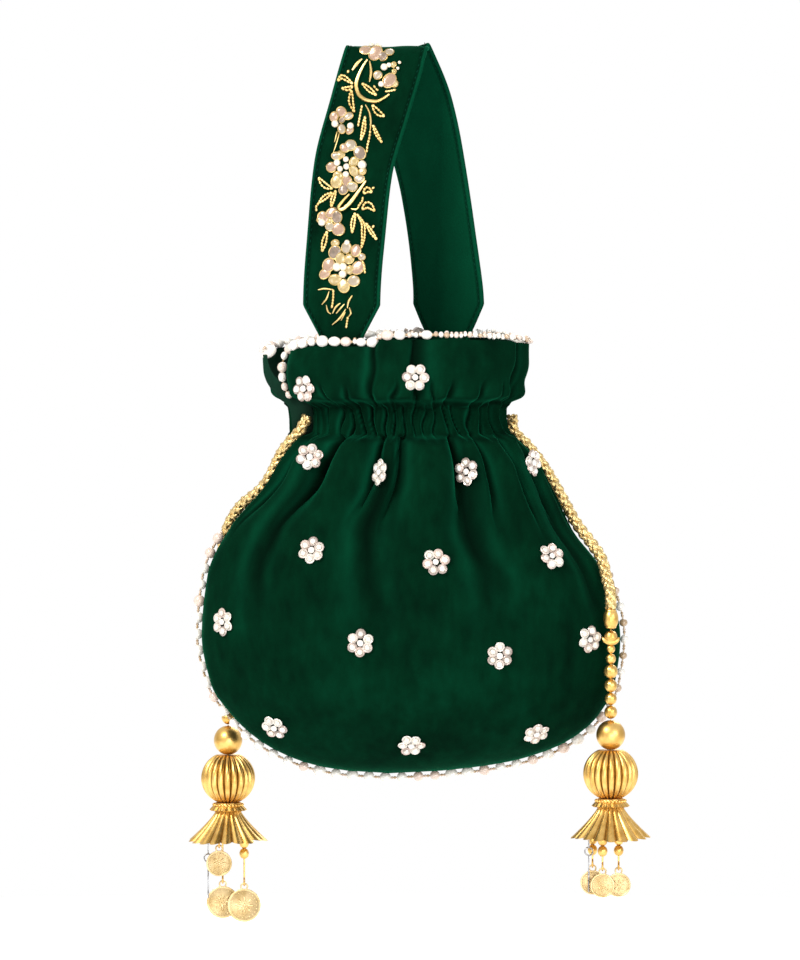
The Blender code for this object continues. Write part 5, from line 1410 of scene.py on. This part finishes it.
@dataclass
class DrawstringTail:
    """The free end of a drawstring: six gold strands plaited over and under each other round a core."""

    side: str
    length: float
    diameter: float = 6.4 * MM
    strands: int = 3
    braid_radius: float = 1.60 * MM
    weave: float = 0.50 * MM
    strand_radius: float = 1.25 * MM
    pitch: float = 15.0 * MM
    steps: int = 190

    def build(self, wardrobe: Wardrobe) -> bpy.types.Object:
        route = [Vector(place) * MM for place in CORD_ROUTES[self.side]]
        path = smooth_path(route, self.steps)
        lengths = lengths_along(path)
        frames = []
        side = Vector((0.2, 1.0, 0.1))
        for index, point in enumerate(path):
            along = path[min(index + 1, self.steps - 1)] - path[max(index - 1, 0)]
            turn = turn_to(along, side).to_3x3()
            side = turn @ Vector((0.0, 1.0, 0.0))
            frames.append((point, turn))
        mould = Mould()
        for hand in (-1, 1):
            for strand in range(self.strands):
                line = []
                for (point, turn), length in zip(frames, lengths):
                    angle = hand * 2 * math.pi * length / self.pitch + 2 * math.pi * strand / self.strands
                    reach = self.braid_radius + hand * self.weave * math.cos(6 * math.pi * length / self.pitch)
                    line.append(point + turn @ Vector((reach * math.cos(angle), reach * math.sin(angle), 0.0)))
                mould.tube(line, lambda share: self.strand_radius, 6, 700.0)
        mould.tube(path, lambda share: 1.3 * MM, 6, 700.0)
        cord = mould.finish(f"braided_cord_{self.side}", (wardrobe.zari,), "bag", (f"drawstring_{self.side}",),
                            60.0)
        return cord


# ---- the tassels


@dataclass(frozen=True)
class Charm:
    """A strand under the skirt: place, beads, wire and coin, in millimetres."""

    across: float
    depth: float
    beads: int
    wire: float
    coin: float


@dataclass
class BeadTassel:
    """A gold tassel: bead string, ball, ribbed melon, crimped collar, pleated skirt and coin charms."""

    side: str
    charms: tuple[Charm, ...]
    pin: tuple[float, float, float]
    hem_roll: float
    ball: float = 15.0
    melon_width: float = 28.6
    melon_height: float = 24.4
    ribs: int = 22
    collar_width: float = 19.8
    collar_height: float = 4.6
    skirt_top: float = 13.5
    skirt_hem: float = 42.0
    skirt_height: float = 15.5
    pleats: int = 18
    string_beads: tuple[float, ...] = (4.4, 5.2, 7.3, 6.8, 6.3, 6.8)
    cap_width: float = 10.4
    cap_height: float = 7.3
    seat: float = 0.3
    slack: float = 0.9
    charm_bead: float = 5.4
    eye: float = 2.1
    wire: float = 0.9

    def __post_init__(self) -> None:
        """Find the cord's end, which everything hangs under."""
        self.end = Vector(CORD_ROUTES[self.side][-1])

    def level(self, down: float) -> Vector:
        """Return the place at a distance in millimetres below the cord's end."""
        return (self.end - Vector((0.0, 0.0, down))) * MM

    @staticmethod
    def bead_profile(width: float, height: float, waist: float, rows: int = 16,
                     power: float = 1.0) -> list[tuple[float, float]]:
        """Return a bead's outline in metres, from its top hole to its bottom one."""
        start = math.acos(min(waist / width, 0.99))
        profile = []
        for row in range(rows + 1):
            angle = start - 2 * start * row / rows
            radius = width / 2 * math.cos(angle) ** power
            profile.append((radius * MM, (-height / 2 + height / 2 * math.sin(angle) / math.sin(start)) * MM))
        return profile

    def build_oval(self, wardrobe: Wardrobe) -> None:
        """Model the oval bead that hides the cord's knot, with a ring of wire at each end."""
        mould = Mould()
        mould.turned(self.bead_profile(7.8, 10.4, 3.0), 32, self.level(self.seat))
        for down in (0.9, 9.5):
            ring = [(1.6, 0.7), (2.6, 0.45), (2.8, 0.0), (2.6, -0.45), (1.6, -0.7)]
            mould.turned([(radius * MM, height * MM) for radius, height in ring], 28, self.level(self.seat + down))
        mould.finish(f"oval_bead_{self.side}", (wardrobe.gold,), "bag", (f"cord_bead_{self.side}",))

    def build_string(self, wardrobe: Wardrobe) -> float:
        """Model the cap and the faceted beads, and return how far down the head starts."""
        down = self.seat + 10.4 + self.slack
        mould = Mould()
        cap = [(0.35, 0.5), (0.35, 0.0), (1.6, -0.3), (2.6, -1.0), (3.2, -2.2), (3.4, -3.6), (3.0, -5.0), (2.2, -6.2),
               (1.2, -7.0), (0.8, -7.3)]
        mould.turned([(radius * MM, height * MM) for radius, height in cap], 36, self.level(down))
        moon = [self.level(down + 3.2) + Vector((4.2 * math.cos(angle), -0.8, 2.6 * math.sin(angle))) * MM
                for angle in [math.pi * (1.04 + 0.92 * step / 20) for step in range(21)]]
        mould.tube(moon, lambda share: (0.35 + 1.5 * math.sin(math.pi * share)) * MM, 12)
        level = self.cap_height
        for number, width in enumerate(self.string_beads):
            profile = self.bead_profile(width, width, 1.6, 8 if number > 1 else 14)
            made = mould.turned(profile, 12 if number > 1 else 24, self.level(down + level))
            if number > 1:
                for vert in made:
                    # a flat tenth of the crease shade, so the faceted beads are slightly darker all over
                    vert[mould.crease_shade] = 0.1
            level += width + self.seat
        core = [(0.55 * MM, 0.0), (0.55 * MM, -(level - self.seat) * MM)]
        mould.turned(core, 12, self.level(down))
        mould.finish(f"faceted_string_{self.side}", (wardrobe.gold,), f"{self.side}_string",
                     (f"bead_string_{self.side}",), 22.0)
        return down + level - self.seat + self.slack

    def build_head(self, down: float, wardrobe: Wardrobe) -> float:
        """Model the ball, melon, collar and skirt, and return how far down the charms hang."""
        body = f"{self.side}_head"
        mould = Mould()
        neck = [(0.35 * MM, 0.5 * MM), (0.35 * MM, -0.4 * MM)]
        mould.turned(neck, 12, self.level(down))
        mould.turned(self.bead_profile(self.ball, self.ball, 3.6, 30), 56, self.level(down))
        mould.finish(f"satin_ball_{self.side}", (wardrobe.gold,), body, (f"tassel_ball_{self.side}",))
        down += self.ball + self.seat
        self.build_melon(down, body, wardrobe)
        down += self.melon_height + self.seat
        self.build_collar(down, body, wardrobe)
        down += self.collar_height + self.seat
        self.build_skirt(down, body, wardrobe)
        down += self.skirt_height - 3.0
        mould = Mould()
        length = self.ball + self.melon_height + self.collar_height + 3 * self.seat + self.skirt_height - 3.0
        plate = [(0.6, length), (0.6, 1.4), (11.8, 1.2), (12.4, 0.8), (12.5, 0.3), (12.0, 0.0), (9.0, -0.1), (8.6, 0.15),
                 (5.0, 0.15), (4.6, -0.1)]
        mould.turned([(radius * MM, height * MM) for radius, height in plate], 48, self.level(down))
        mould.finish(f"foot_plate_{self.side}", (wardrobe.gold,), body, (f"tassel_core_{self.side}",))
        return down

    def build_melon(self, down: float, body: str, wardrobe: Wardrobe) -> None:
        """Model the melon bead, whose rounded ribs meet in sharp grooves that are darkened by painted shade."""
        mould = Mould()
        profile = self.bead_profile(self.melon_width, self.melon_height, self.melon_width * 0.46, 30)
        centre = self.level(down)
        made = mould.turned(profile, self.ribs * 10, centre)
        for vert in made:
            x, y = vert.co.x - centre.x, vert.co.y - centre.y
            radius = math.hypot(x, y)
            if radius < 1.2 * MM:
                continue
            angle = math.atan2(y, x)
            groove = 1 - abs(math.sin(self.ribs * angle / 2)) ** 0.62
            reach = ease((radius - 1.2 * MM) / (6 * MM))
            scale = (radius - 1.9 * MM * groove * reach) / radius
            vert.co.x, vert.co.y = centre.x + x * scale, centre.y + y * scale
            # painted shade in the grooves between the ribs
            vert[mould.crease_shade] = groove ** 2 * reach
        mould.finish(f"ribbed_melon_{self.side}", (wardrobe.gold,), body, (f"melon_bead_{self.side}",), 60.0)

    def build_collar(self, down: float, body: str, wardrobe: Wardrobe) -> None:
        """Model the crimped collar with a row of tiny balls round it."""
        mould = Mould()
        half = self.collar_width / 2
        profile = [(half * 0.60, 0.0), (half * 0.70, -0.5), (half * 0.72, -1.3), (half * 0.80, -2.0), (half * 0.90, -3.0),
                   (half, -4.1), (half * 0.97, -4.45), (half * 0.90, -4.6), (half * 0.5, -4.6)]
        centre = self.level(down)
        made = mould.turned([(radius * MM, height * MM) for radius, height in profile], 144, centre)
        for vert in made:
            x, y = vert.co.x - centre.x, vert.co.y - centre.y
            radius = math.hypot(x, y)
            if radius < half * 0.6 * MM:
                continue
            wave = math.cos(18 * math.atan2(y, x))
            reach = ease((radius - half * 0.65 * MM) / (half * 0.35 * MM))
            scale = (radius + (wave - 1) * 0.45 * MM * reach) / radius
            vert.co.x, vert.co.y = centre.x + x * scale, centre.y + y * scale
            # painted shade in the hollows of the crimps
            vert[mould.crease_shade] = 0.5 * (1 - wave) / 2 * reach
        for bead in range(26):
            angle = 2 * math.pi * bead / 26
            place = centre + Vector((math.cos(angle) * half * 0.76, math.sin(angle) * half * 0.76, -1.5)) * MM
            mould.ball(place, (0.85 * MM,) * 3, fine=2)
        mould.finish(f"crimped_collar_{self.side}", (wardrobe.gold,), body, (f"collar_{self.side}",))

    def build_skirt(self, down: float, body: str, wardrobe: Wardrobe) -> None:
        """Model the pleated skirt as thin folded sheet with a turned hem."""
        mould = Mould()
        centre = self.level(down)
        neck, hem = self.skirt_top / 2, self.skirt_hem / 2
        sheet = 0.5

        def place(around: float, share: float) -> Vector:
            """Return a point of the sheet, whose second half is its inner face."""
            inner = share > 0.5
            run = (1 - share) * 2 if inner else share * 2
            angle = 2 * math.pi * around
            fold = 2 * abs(math.sin(self.pleats * angle / 2 + 0.3)) ** 0.8 - 1
            wide = neck + (hem - neck) * run ** 1.22
            deep = 0.5 + 3.2 * run
            drift = 0.6 * run * math.sin(3 * angle + self.hem_roll)
            radius = wide + deep * (fold - 1) * 0.5 + (-sheet if inner else 0.0)
            lift = -self.skirt_height * run + drift * 0.8 - 0.35 * run * fold
            lift += 1.6 * run ** 3 * math.exp(-((math.cos(angle - self.hem_roll) - 1) / 0.06) ** 2)
            height = max(lift - (sheet if inner and run < 0.9 else 0.0), -self.skirt_height - 0.6)
            return centre + Vector((radius * math.cos(angle), radius * math.sin(angle), height)) * MM

        made = mould.grid(self.pleats * 12, 40, place, weld=True)
        for vert in made:
            offset = vert.co - centre
            angle = math.atan2(offset.y, offset.x) % (2 * math.pi)
            fold = 2 * abs(math.sin(self.pleats * angle / 2 + 0.3)) ** 0.8 - 1
            # painted shade in the valleys between the pleats
            vert[mould.crease_shade] = max(0.0, 0.2 - fold) ** 1.5 * 0.8
        open_edges = [edge for edge in mould.bm.edges if edge.is_boundary]
        bmesh.ops.bridge_loops(mould.bm, edges=open_edges)
        mould.finish(f"fan_skirt_{self.side}", (wardrobe.gold,), body, (f"pleated_skirt_{self.side}",), 50.0)

    def build_charm(self, number: int, charm: Charm, foot: float, wardrobe: Wardrobe) -> None:
        """Model one strand and the coin in its eye."""
        top = Vector((self.end.x + charm.across, self.end.y + charm.depth, self.end.z - foot - self.seat))
        mould = Mould()
        level = 1.5
        for _ in range(charm.beads):
            profile = self.bead_profile(self.charm_bead * 0.94, self.charm_bead, 1.8, 12)
            mould.turned(profile, 20, (top - Vector((0, 0, level))) * MM)
            level += self.charm_bead + 0.1
        level += charm.wire
        stem = [top * MM, (top - Vector((0, 0, level))) * MM]
        eye = top - Vector((0, 0, level + self.eye))
        loop = [(eye + Vector((0, self.eye * math.sin(angle), self.eye * math.cos(angle)))) * MM
                for angle in [2 * math.pi * step / 20 for step in range(20)]]
        mould.tube(stem + loop[1:], lambda share: self.wire / 2 * MM, 8)
        mould.finish(f"charm_strand_{self.side}_{number}", (wardrobe.gold,), f"{self.side}_strand_{number}",
                     (f"strand_{self.side}_{number}",))
        self.build_coin(number, eye - Vector((0, 0, self.eye)), charm.coin, wardrobe)

    def build_coin(self, number: int, hang: Vector, width: float, wardrobe: Wardrobe) -> None:
        """Model a struck coin: a raised rim, a ring of dots and a plain rosette, hung by a lug."""
        hole, lug, thick = 2.6, 3.0, 0.8
        hole_middle = hang - Vector((0, 0, hole / 2 - self.wire / 2 - self.seat))
        middle = hole_middle - Vector((0, 0, width / 2 + lug * 0.35))
        mould = Mould()
        half = width / 2
        draw = random.Random(number * 31 + int(width * 10))
        face = [(half * 0.86, thick * 0.28), (half * 0.90, thick * 0.5), (half * 0.97, thick * 0.5), (half, thick * 0.3),
                (half, -thick * 0.3), (half * 0.97, -thick * 0.5), (half * 0.90, -thick * 0.5),
                (half * 0.86, -thick * 0.28)]
        disc = mould.turned([(radius * MM, height * MM) for radius, height in face], 48, Vector((0, 0, 0)))
        for vert in disc:
            dent = noise.noise(Vector(vert.co) * 260.0 + Vector((number, 0, 0))) * 0.12 * MM
            vert.co.z += dent
            # painted shade in the groove just inside the raised rim
            vert[mould.crease_shade] = 0.55 * math.exp(-((math.hypot(vert.co.x, vert.co.y) / (half * MM) - 0.86) / 0.03) ** 2)
        for sign in (-1, 1):
            for dot in range(22):
                angle = 2 * math.pi * dot / 22
                spot = Vector((math.cos(angle) * half * 0.76, math.sin(angle) * half * 0.76, sign * thick * 0.28)) * MM
                mould.ball(spot, (0.36 * MM, 0.36 * MM, 0.28 * MM), fine=1)
            for petal in range(8):
                angle = 2 * math.pi * petal / 8 + draw.uniform(-0.05, 0.05)
                spot = Vector((math.cos(angle) * half * 0.36, math.sin(angle) * half * 0.36, sign * thick * 0.28)) * MM
                mould.ball(spot, (half * 0.20 * MM, half * 0.085 * MM, 0.38 * MM), Matrix.Rotation(angle, 4, "Z"), fine=2)
            mould.ball(Vector((0, 0, sign * thick * 0.28 * MM)), (half * 0.12 * MM, half * 0.12 * MM, 0.42 * MM), fine=2)
        ring_height = (hole_middle - middle).z

        def lug_point(around: float, share: float) -> Vector:
            """Return a point of the lug's ring."""
            angle, tube = 2 * math.pi * around, 2 * math.pi * share
            reach = (hole / 2 + 0.42) + 0.42 * math.cos(tube)
            return Vector((reach * math.cos(angle), reach * math.sin(angle) + ring_height, 0.4 * math.sin(tube))) * MM

        mould.grid(24, 8, lug_point, weld=True)
        turn = Matrix.Translation(middle * MM) @ Matrix.Rotation(math.pi / 2, 4, "X")
        bmesh.ops.transform(mould.bm, matrix=turn, verts=mould.bm.verts)
        mould.finish(f"struck_coin_{self.side}_{number}", (wardrobe.coin,), f"{self.side}_coin_{number}",
                     (f"coin_{self.side}_{number}",), 30.0)

    def build_pin(self, foot: float, wardrobe: Wardrobe) -> None:
        """Model the loose eye pin with its open loop and straight tail."""
        across, depth, drop = self.pin
        top = Vector((self.end.x + across, self.end.y + depth, self.end.z - foot - self.seat))
        eye = top - Vector((0, 0, drop + self.eye))
        path = [top, top - Vector((0, 0, drop))]
        for step in range(1, 31):
            angle = math.radians(90 + 18 * step)
            path.append(eye + Vector((math.cos(angle), 0, math.sin(angle))) * self.eye)
        path.append(path[-1] - Vector((0, 0, 19.0)))
        mould = Mould()
        mould.tube([point * MM for point in path], lambda share: 0.36 * MM, 8)
        mould.finish(f"wire_pin_{self.side}", (wardrobe.steel,), f"{self.side}_pin", (f"eye_pin_{self.side}",))

    def build(self, wardrobe: Wardrobe) -> None:
        """Model the whole tassel."""
        self.build_oval(wardrobe)
        foot = self.build_head(self.build_string(wardrobe), wardrobe)
        for number, charm in enumerate(self.charms, start=1):
            self.build_charm(number, charm, foot, wardrobe)
        self.build_pin(foot, wardrobe)


# ---- the studio


@dataclass
class Studio:
    """White surroundings, soft lamps and a long lens at the photograph's angle."""

    frame_height: float = 960 * PIXEL * MM
    distance: float = 3.2
    elevation: float = math.radians(2.5)
    middle: tuple[float, float] = (400.0, 480.0)
    sensor: float = 24.0
    floor_drop: float = 0.16

    def build_camera(self) -> None:
        """Set the camera on the photograph's frame."""
        camera = bpy.data.cameras.new("photo_camera")
        camera.sensor_fit = "VERTICAL"
        camera.sensor_height = self.sensor
        camera.lens = self.sensor / 2 / (self.frame_height / 2 / self.distance)
        camera.clip_end = 40.0
        holder = bpy.data.objects.new("photo_camera", camera)
        x, z = photo_place(*self.middle)
        holder.location = (x, -self.distance * math.cos(self.elevation), z + self.distance * math.sin(self.elevation))
        holder.rotation_euler = (math.pi / 2 - self.elevation, 0.0, 0.0)
        bpy.context.scene.collection.objects.link(holder)
        bpy.context.scene.camera = holder

    def lamp(self, name: str, place: Sequence[float], size: float, power: float, colour: Colour = (1, 1, 1)) -> None:
        """Add a square soft lamp that looks at the bag's middle."""
        light = bpy.data.lights.new(name, "AREA")
        light.size, light.energy, light.color = size, power, colour
        holder = bpy.data.objects.new(name, light)
        holder.location = place
        aim = Vector((0.01, 0.0, -0.23)) - Vector(place)
        holder.rotation_euler = aim.to_track_quat("-Z", "Y").to_euler()
        bpy.context.scene.collection.objects.link(holder)

    @staticmethod
    def white_to_camera(tree: bpy.types.NodeTree) -> bpy.types.NodeSocket:
        """Return 1 on camera, glossy and transmission rays, and 0 on others."""
        path = tree.nodes.new("ShaderNodeLightPath")
        total = path.outputs["Is Camera Ray"]
        for name in ("Is Glossy Ray", "Is Transmission Ray"):
            add = tree.nodes.new("ShaderNodeMath")
            add.operation, add.use_clamp = "ADD", True
            tree.links.new(total, add.inputs[0])
            tree.links.new(path.outputs[name], add.inputs[1])
            total = add.outputs[0]
        return total

    def build_world(self) -> None:
        """Make the world soft grey to light by and white to look at."""
        world = bpy.data.worlds.new("studio_white")
        world.use_nodes = True
        tree = world.node_tree
        soft = tree.nodes["Background"]
        soft.inputs["Color"].default_value = (0.92, 0.96, 1.0, 1.0)
        soft.inputs["Strength"].default_value = 0.46
        white = tree.nodes.new("ShaderNodeBackground")
        white.inputs["Color"].default_value = (1.0, 1.0, 1.0, 1.0)
        white.inputs["Strength"].default_value = 1.0
        mixed = tree.nodes.new("ShaderNodeMixShader")
        tree.links.new(self.white_to_camera(tree), mixed.inputs[0])
        tree.links.new(soft.outputs[0], mixed.inputs[1])
        tree.links.new(white.outputs[0], mixed.inputs[2])
        tree.links.new(mixed.outputs[0], tree.nodes["World Output"].inputs["Surface"])
        bpy.context.scene.world = world

    def build_floor(self) -> None:
        """Lay a pale floor well under the hanging bag."""
        bm = bmesh.new()
        bmesh.ops.create_circle(bm, cap_ends=True, radius=1.6, segments=64,
                                matrix=Matrix.Translation((0.0, 0.0, CAD_BOX[0][2] - self.floor_drop)))
        mesh = bpy.data.meshes.new("pale_floor")
        bm.to_mesh(mesh)
        bm.free()
        material = bpy.data.materials.new("pale_floor")
        material.use_nodes = True
        tree = material.node_tree
        shader = tree.nodes["Principled BSDF"]
        shader.inputs["Base Color"].default_value = (0.9, 0.9, 0.9, 1.0)
        shader.inputs["Roughness"].default_value = 0.9
        glow = tree.nodes.new("ShaderNodeEmission")
        strength = tree.nodes.new("ShaderNodeMath")
        strength.operation = "MULTIPLY"
        strength.inputs[1].default_value = 0.8
        tree.links.new(self.white_to_camera(tree), strength.inputs[0])
        tree.links.new(strength.outputs[0], glow.inputs["Strength"])
        both = tree.nodes.new("ShaderNodeAddShader")
        tree.links.new(shader.outputs[0], both.inputs[0])
        tree.links.new(glow.outputs[0], both.inputs[1])
        tree.links.new(both.outputs[0], tree.nodes["Material Output"].inputs["Surface"])
        mesh.materials.append(material)
        floor = bpy.data.objects.new("pale_floor", mesh)
        bpy.context.scene.collection.objects.link(floor)

    def build(self) -> None:
        """Set up the camera, the world, the floor and the lamps."""
        bpy.context.scene.view_settings.view_transform = "Standard"
        self.build_camera()
        self.build_world()
        self.build_floor()
        self.lamp("key_lamp", (-1.3, -1.4, 1.3), 0.8, 62.0, (1.0, 0.98, 0.95))
        self.lamp("fill_lamp", (1.5, -1.9, 0.3), 1.2, 24.0, (0.95, 0.98, 1.0))
        self.lamp("low_lamp", (0.3, -1.9, -0.48), 0.9, 16.0)
        self.lamp("back_lamp", (0.5, 1.8, 1.0), 1.1, 24.0)


FRONT_FLOWERS = ((307, 384), (415, 373), (311, 457), (385, 471), (467, 471), (531, 462), (313, 546), (435, 557),
                 (547, 555), (226, 619), (361, 637), (498, 650), (592, 636), (276, 723), (411, 739), (535, 728))
BACK_FLOWERS = ((-40.0, -168.0), (18.0, -166.0), (-34.0, -218.0), (2.0, -224.0), (46.0, -222.0), (-46.0, -258.0),
                (24.0, -262.0), (78.0, -262.0), (-72.0, -296.0), (-14.0, -302.0), (50.0, -308.0), (88.0, -306.0),
                (-52.0, -342.0), (12.0, -354.0), (66.0, -344.0))
RIGHT_CHARMS = (Charm(-9.2, 3.2, 2, 2.0, 12.5), Charm(-4.2, -3.2, 2, 3.0, 12.5), Charm(4.2, 0.0, 2, 3.0, 12.5))
LEFT_CHARMS = (Charm(-4.7, -3.6, 0, 0.5, 13.5), Charm(-3.0, 3.4, 0, 20.0, 17.0), Charm(8.4, 0.0, 2, 10.0, 17.6))


def main() -> None:
    """Build every piece of the bag's looks, in order."""
    logging.basicConfig(level=logging.INFO, format="%(message)s")
    Studio().build()
    wardrobe = Wardrobe()
    BeadTassel("left", LEFT_CHARMS, (-10.6, 0.4, 10.0), -0.5).build(wardrobe)
    BeadTassel("right", RIGHT_CHARMS, (-11.2, -0.2, 8.0), 2.4).build(wardrobe)
    DrawstringTail("left", 0.130).build(wardrobe)
    DrawstringTail("right", 0.122).build(wardrobe)
    front = PouchPanel(Side.FRONT, "front_panel", FRONT_CUT, FRONT_ZONES, (0.0, 0.1, 0.25, 0.40, 0.43, 0.6, 0.8, 1.0),
                       (7.0, 5.5, 2.8, 3.2, -0.6, -0.6, 0.5, 2.8), 1.7)
    back = PouchPanel(Side.BACK, "back_panel", BACK_CUT, BACK_ZONES, (0.0, 0.3, 0.6, 0.8, 1.0),
                      (8.0, 2.4, -1.0, -0.5, 2.6), 5.3)
    front.build(wardrobe)
    back.build(wardrobe)
    edging = PearlEdging(front, back)
    edging.build_seam(wardrobe)
    edging.build_rim(front, "front_rim_pearls", 21, wardrobe)
    edging.build_rim(back, "back_rim_pearls", 22, wardrobe)
    BeadFlowers(front).build_front(FRONT_FLOWERS, wardrobe)
    BeadFlowers(back).build_back(BACK_FLOWERS, wardrobe)
    strap = StrapHandle()
    strap.build(wardrobe)
    strap.build_stitches(wardrobe)
    embroidery = StrapEmbroidery(strap)
    embroidery.build_flowers(wardrobe)
    embroidery.build_sprigs(wardrobe)


if __name__ == "__main__":
    main()
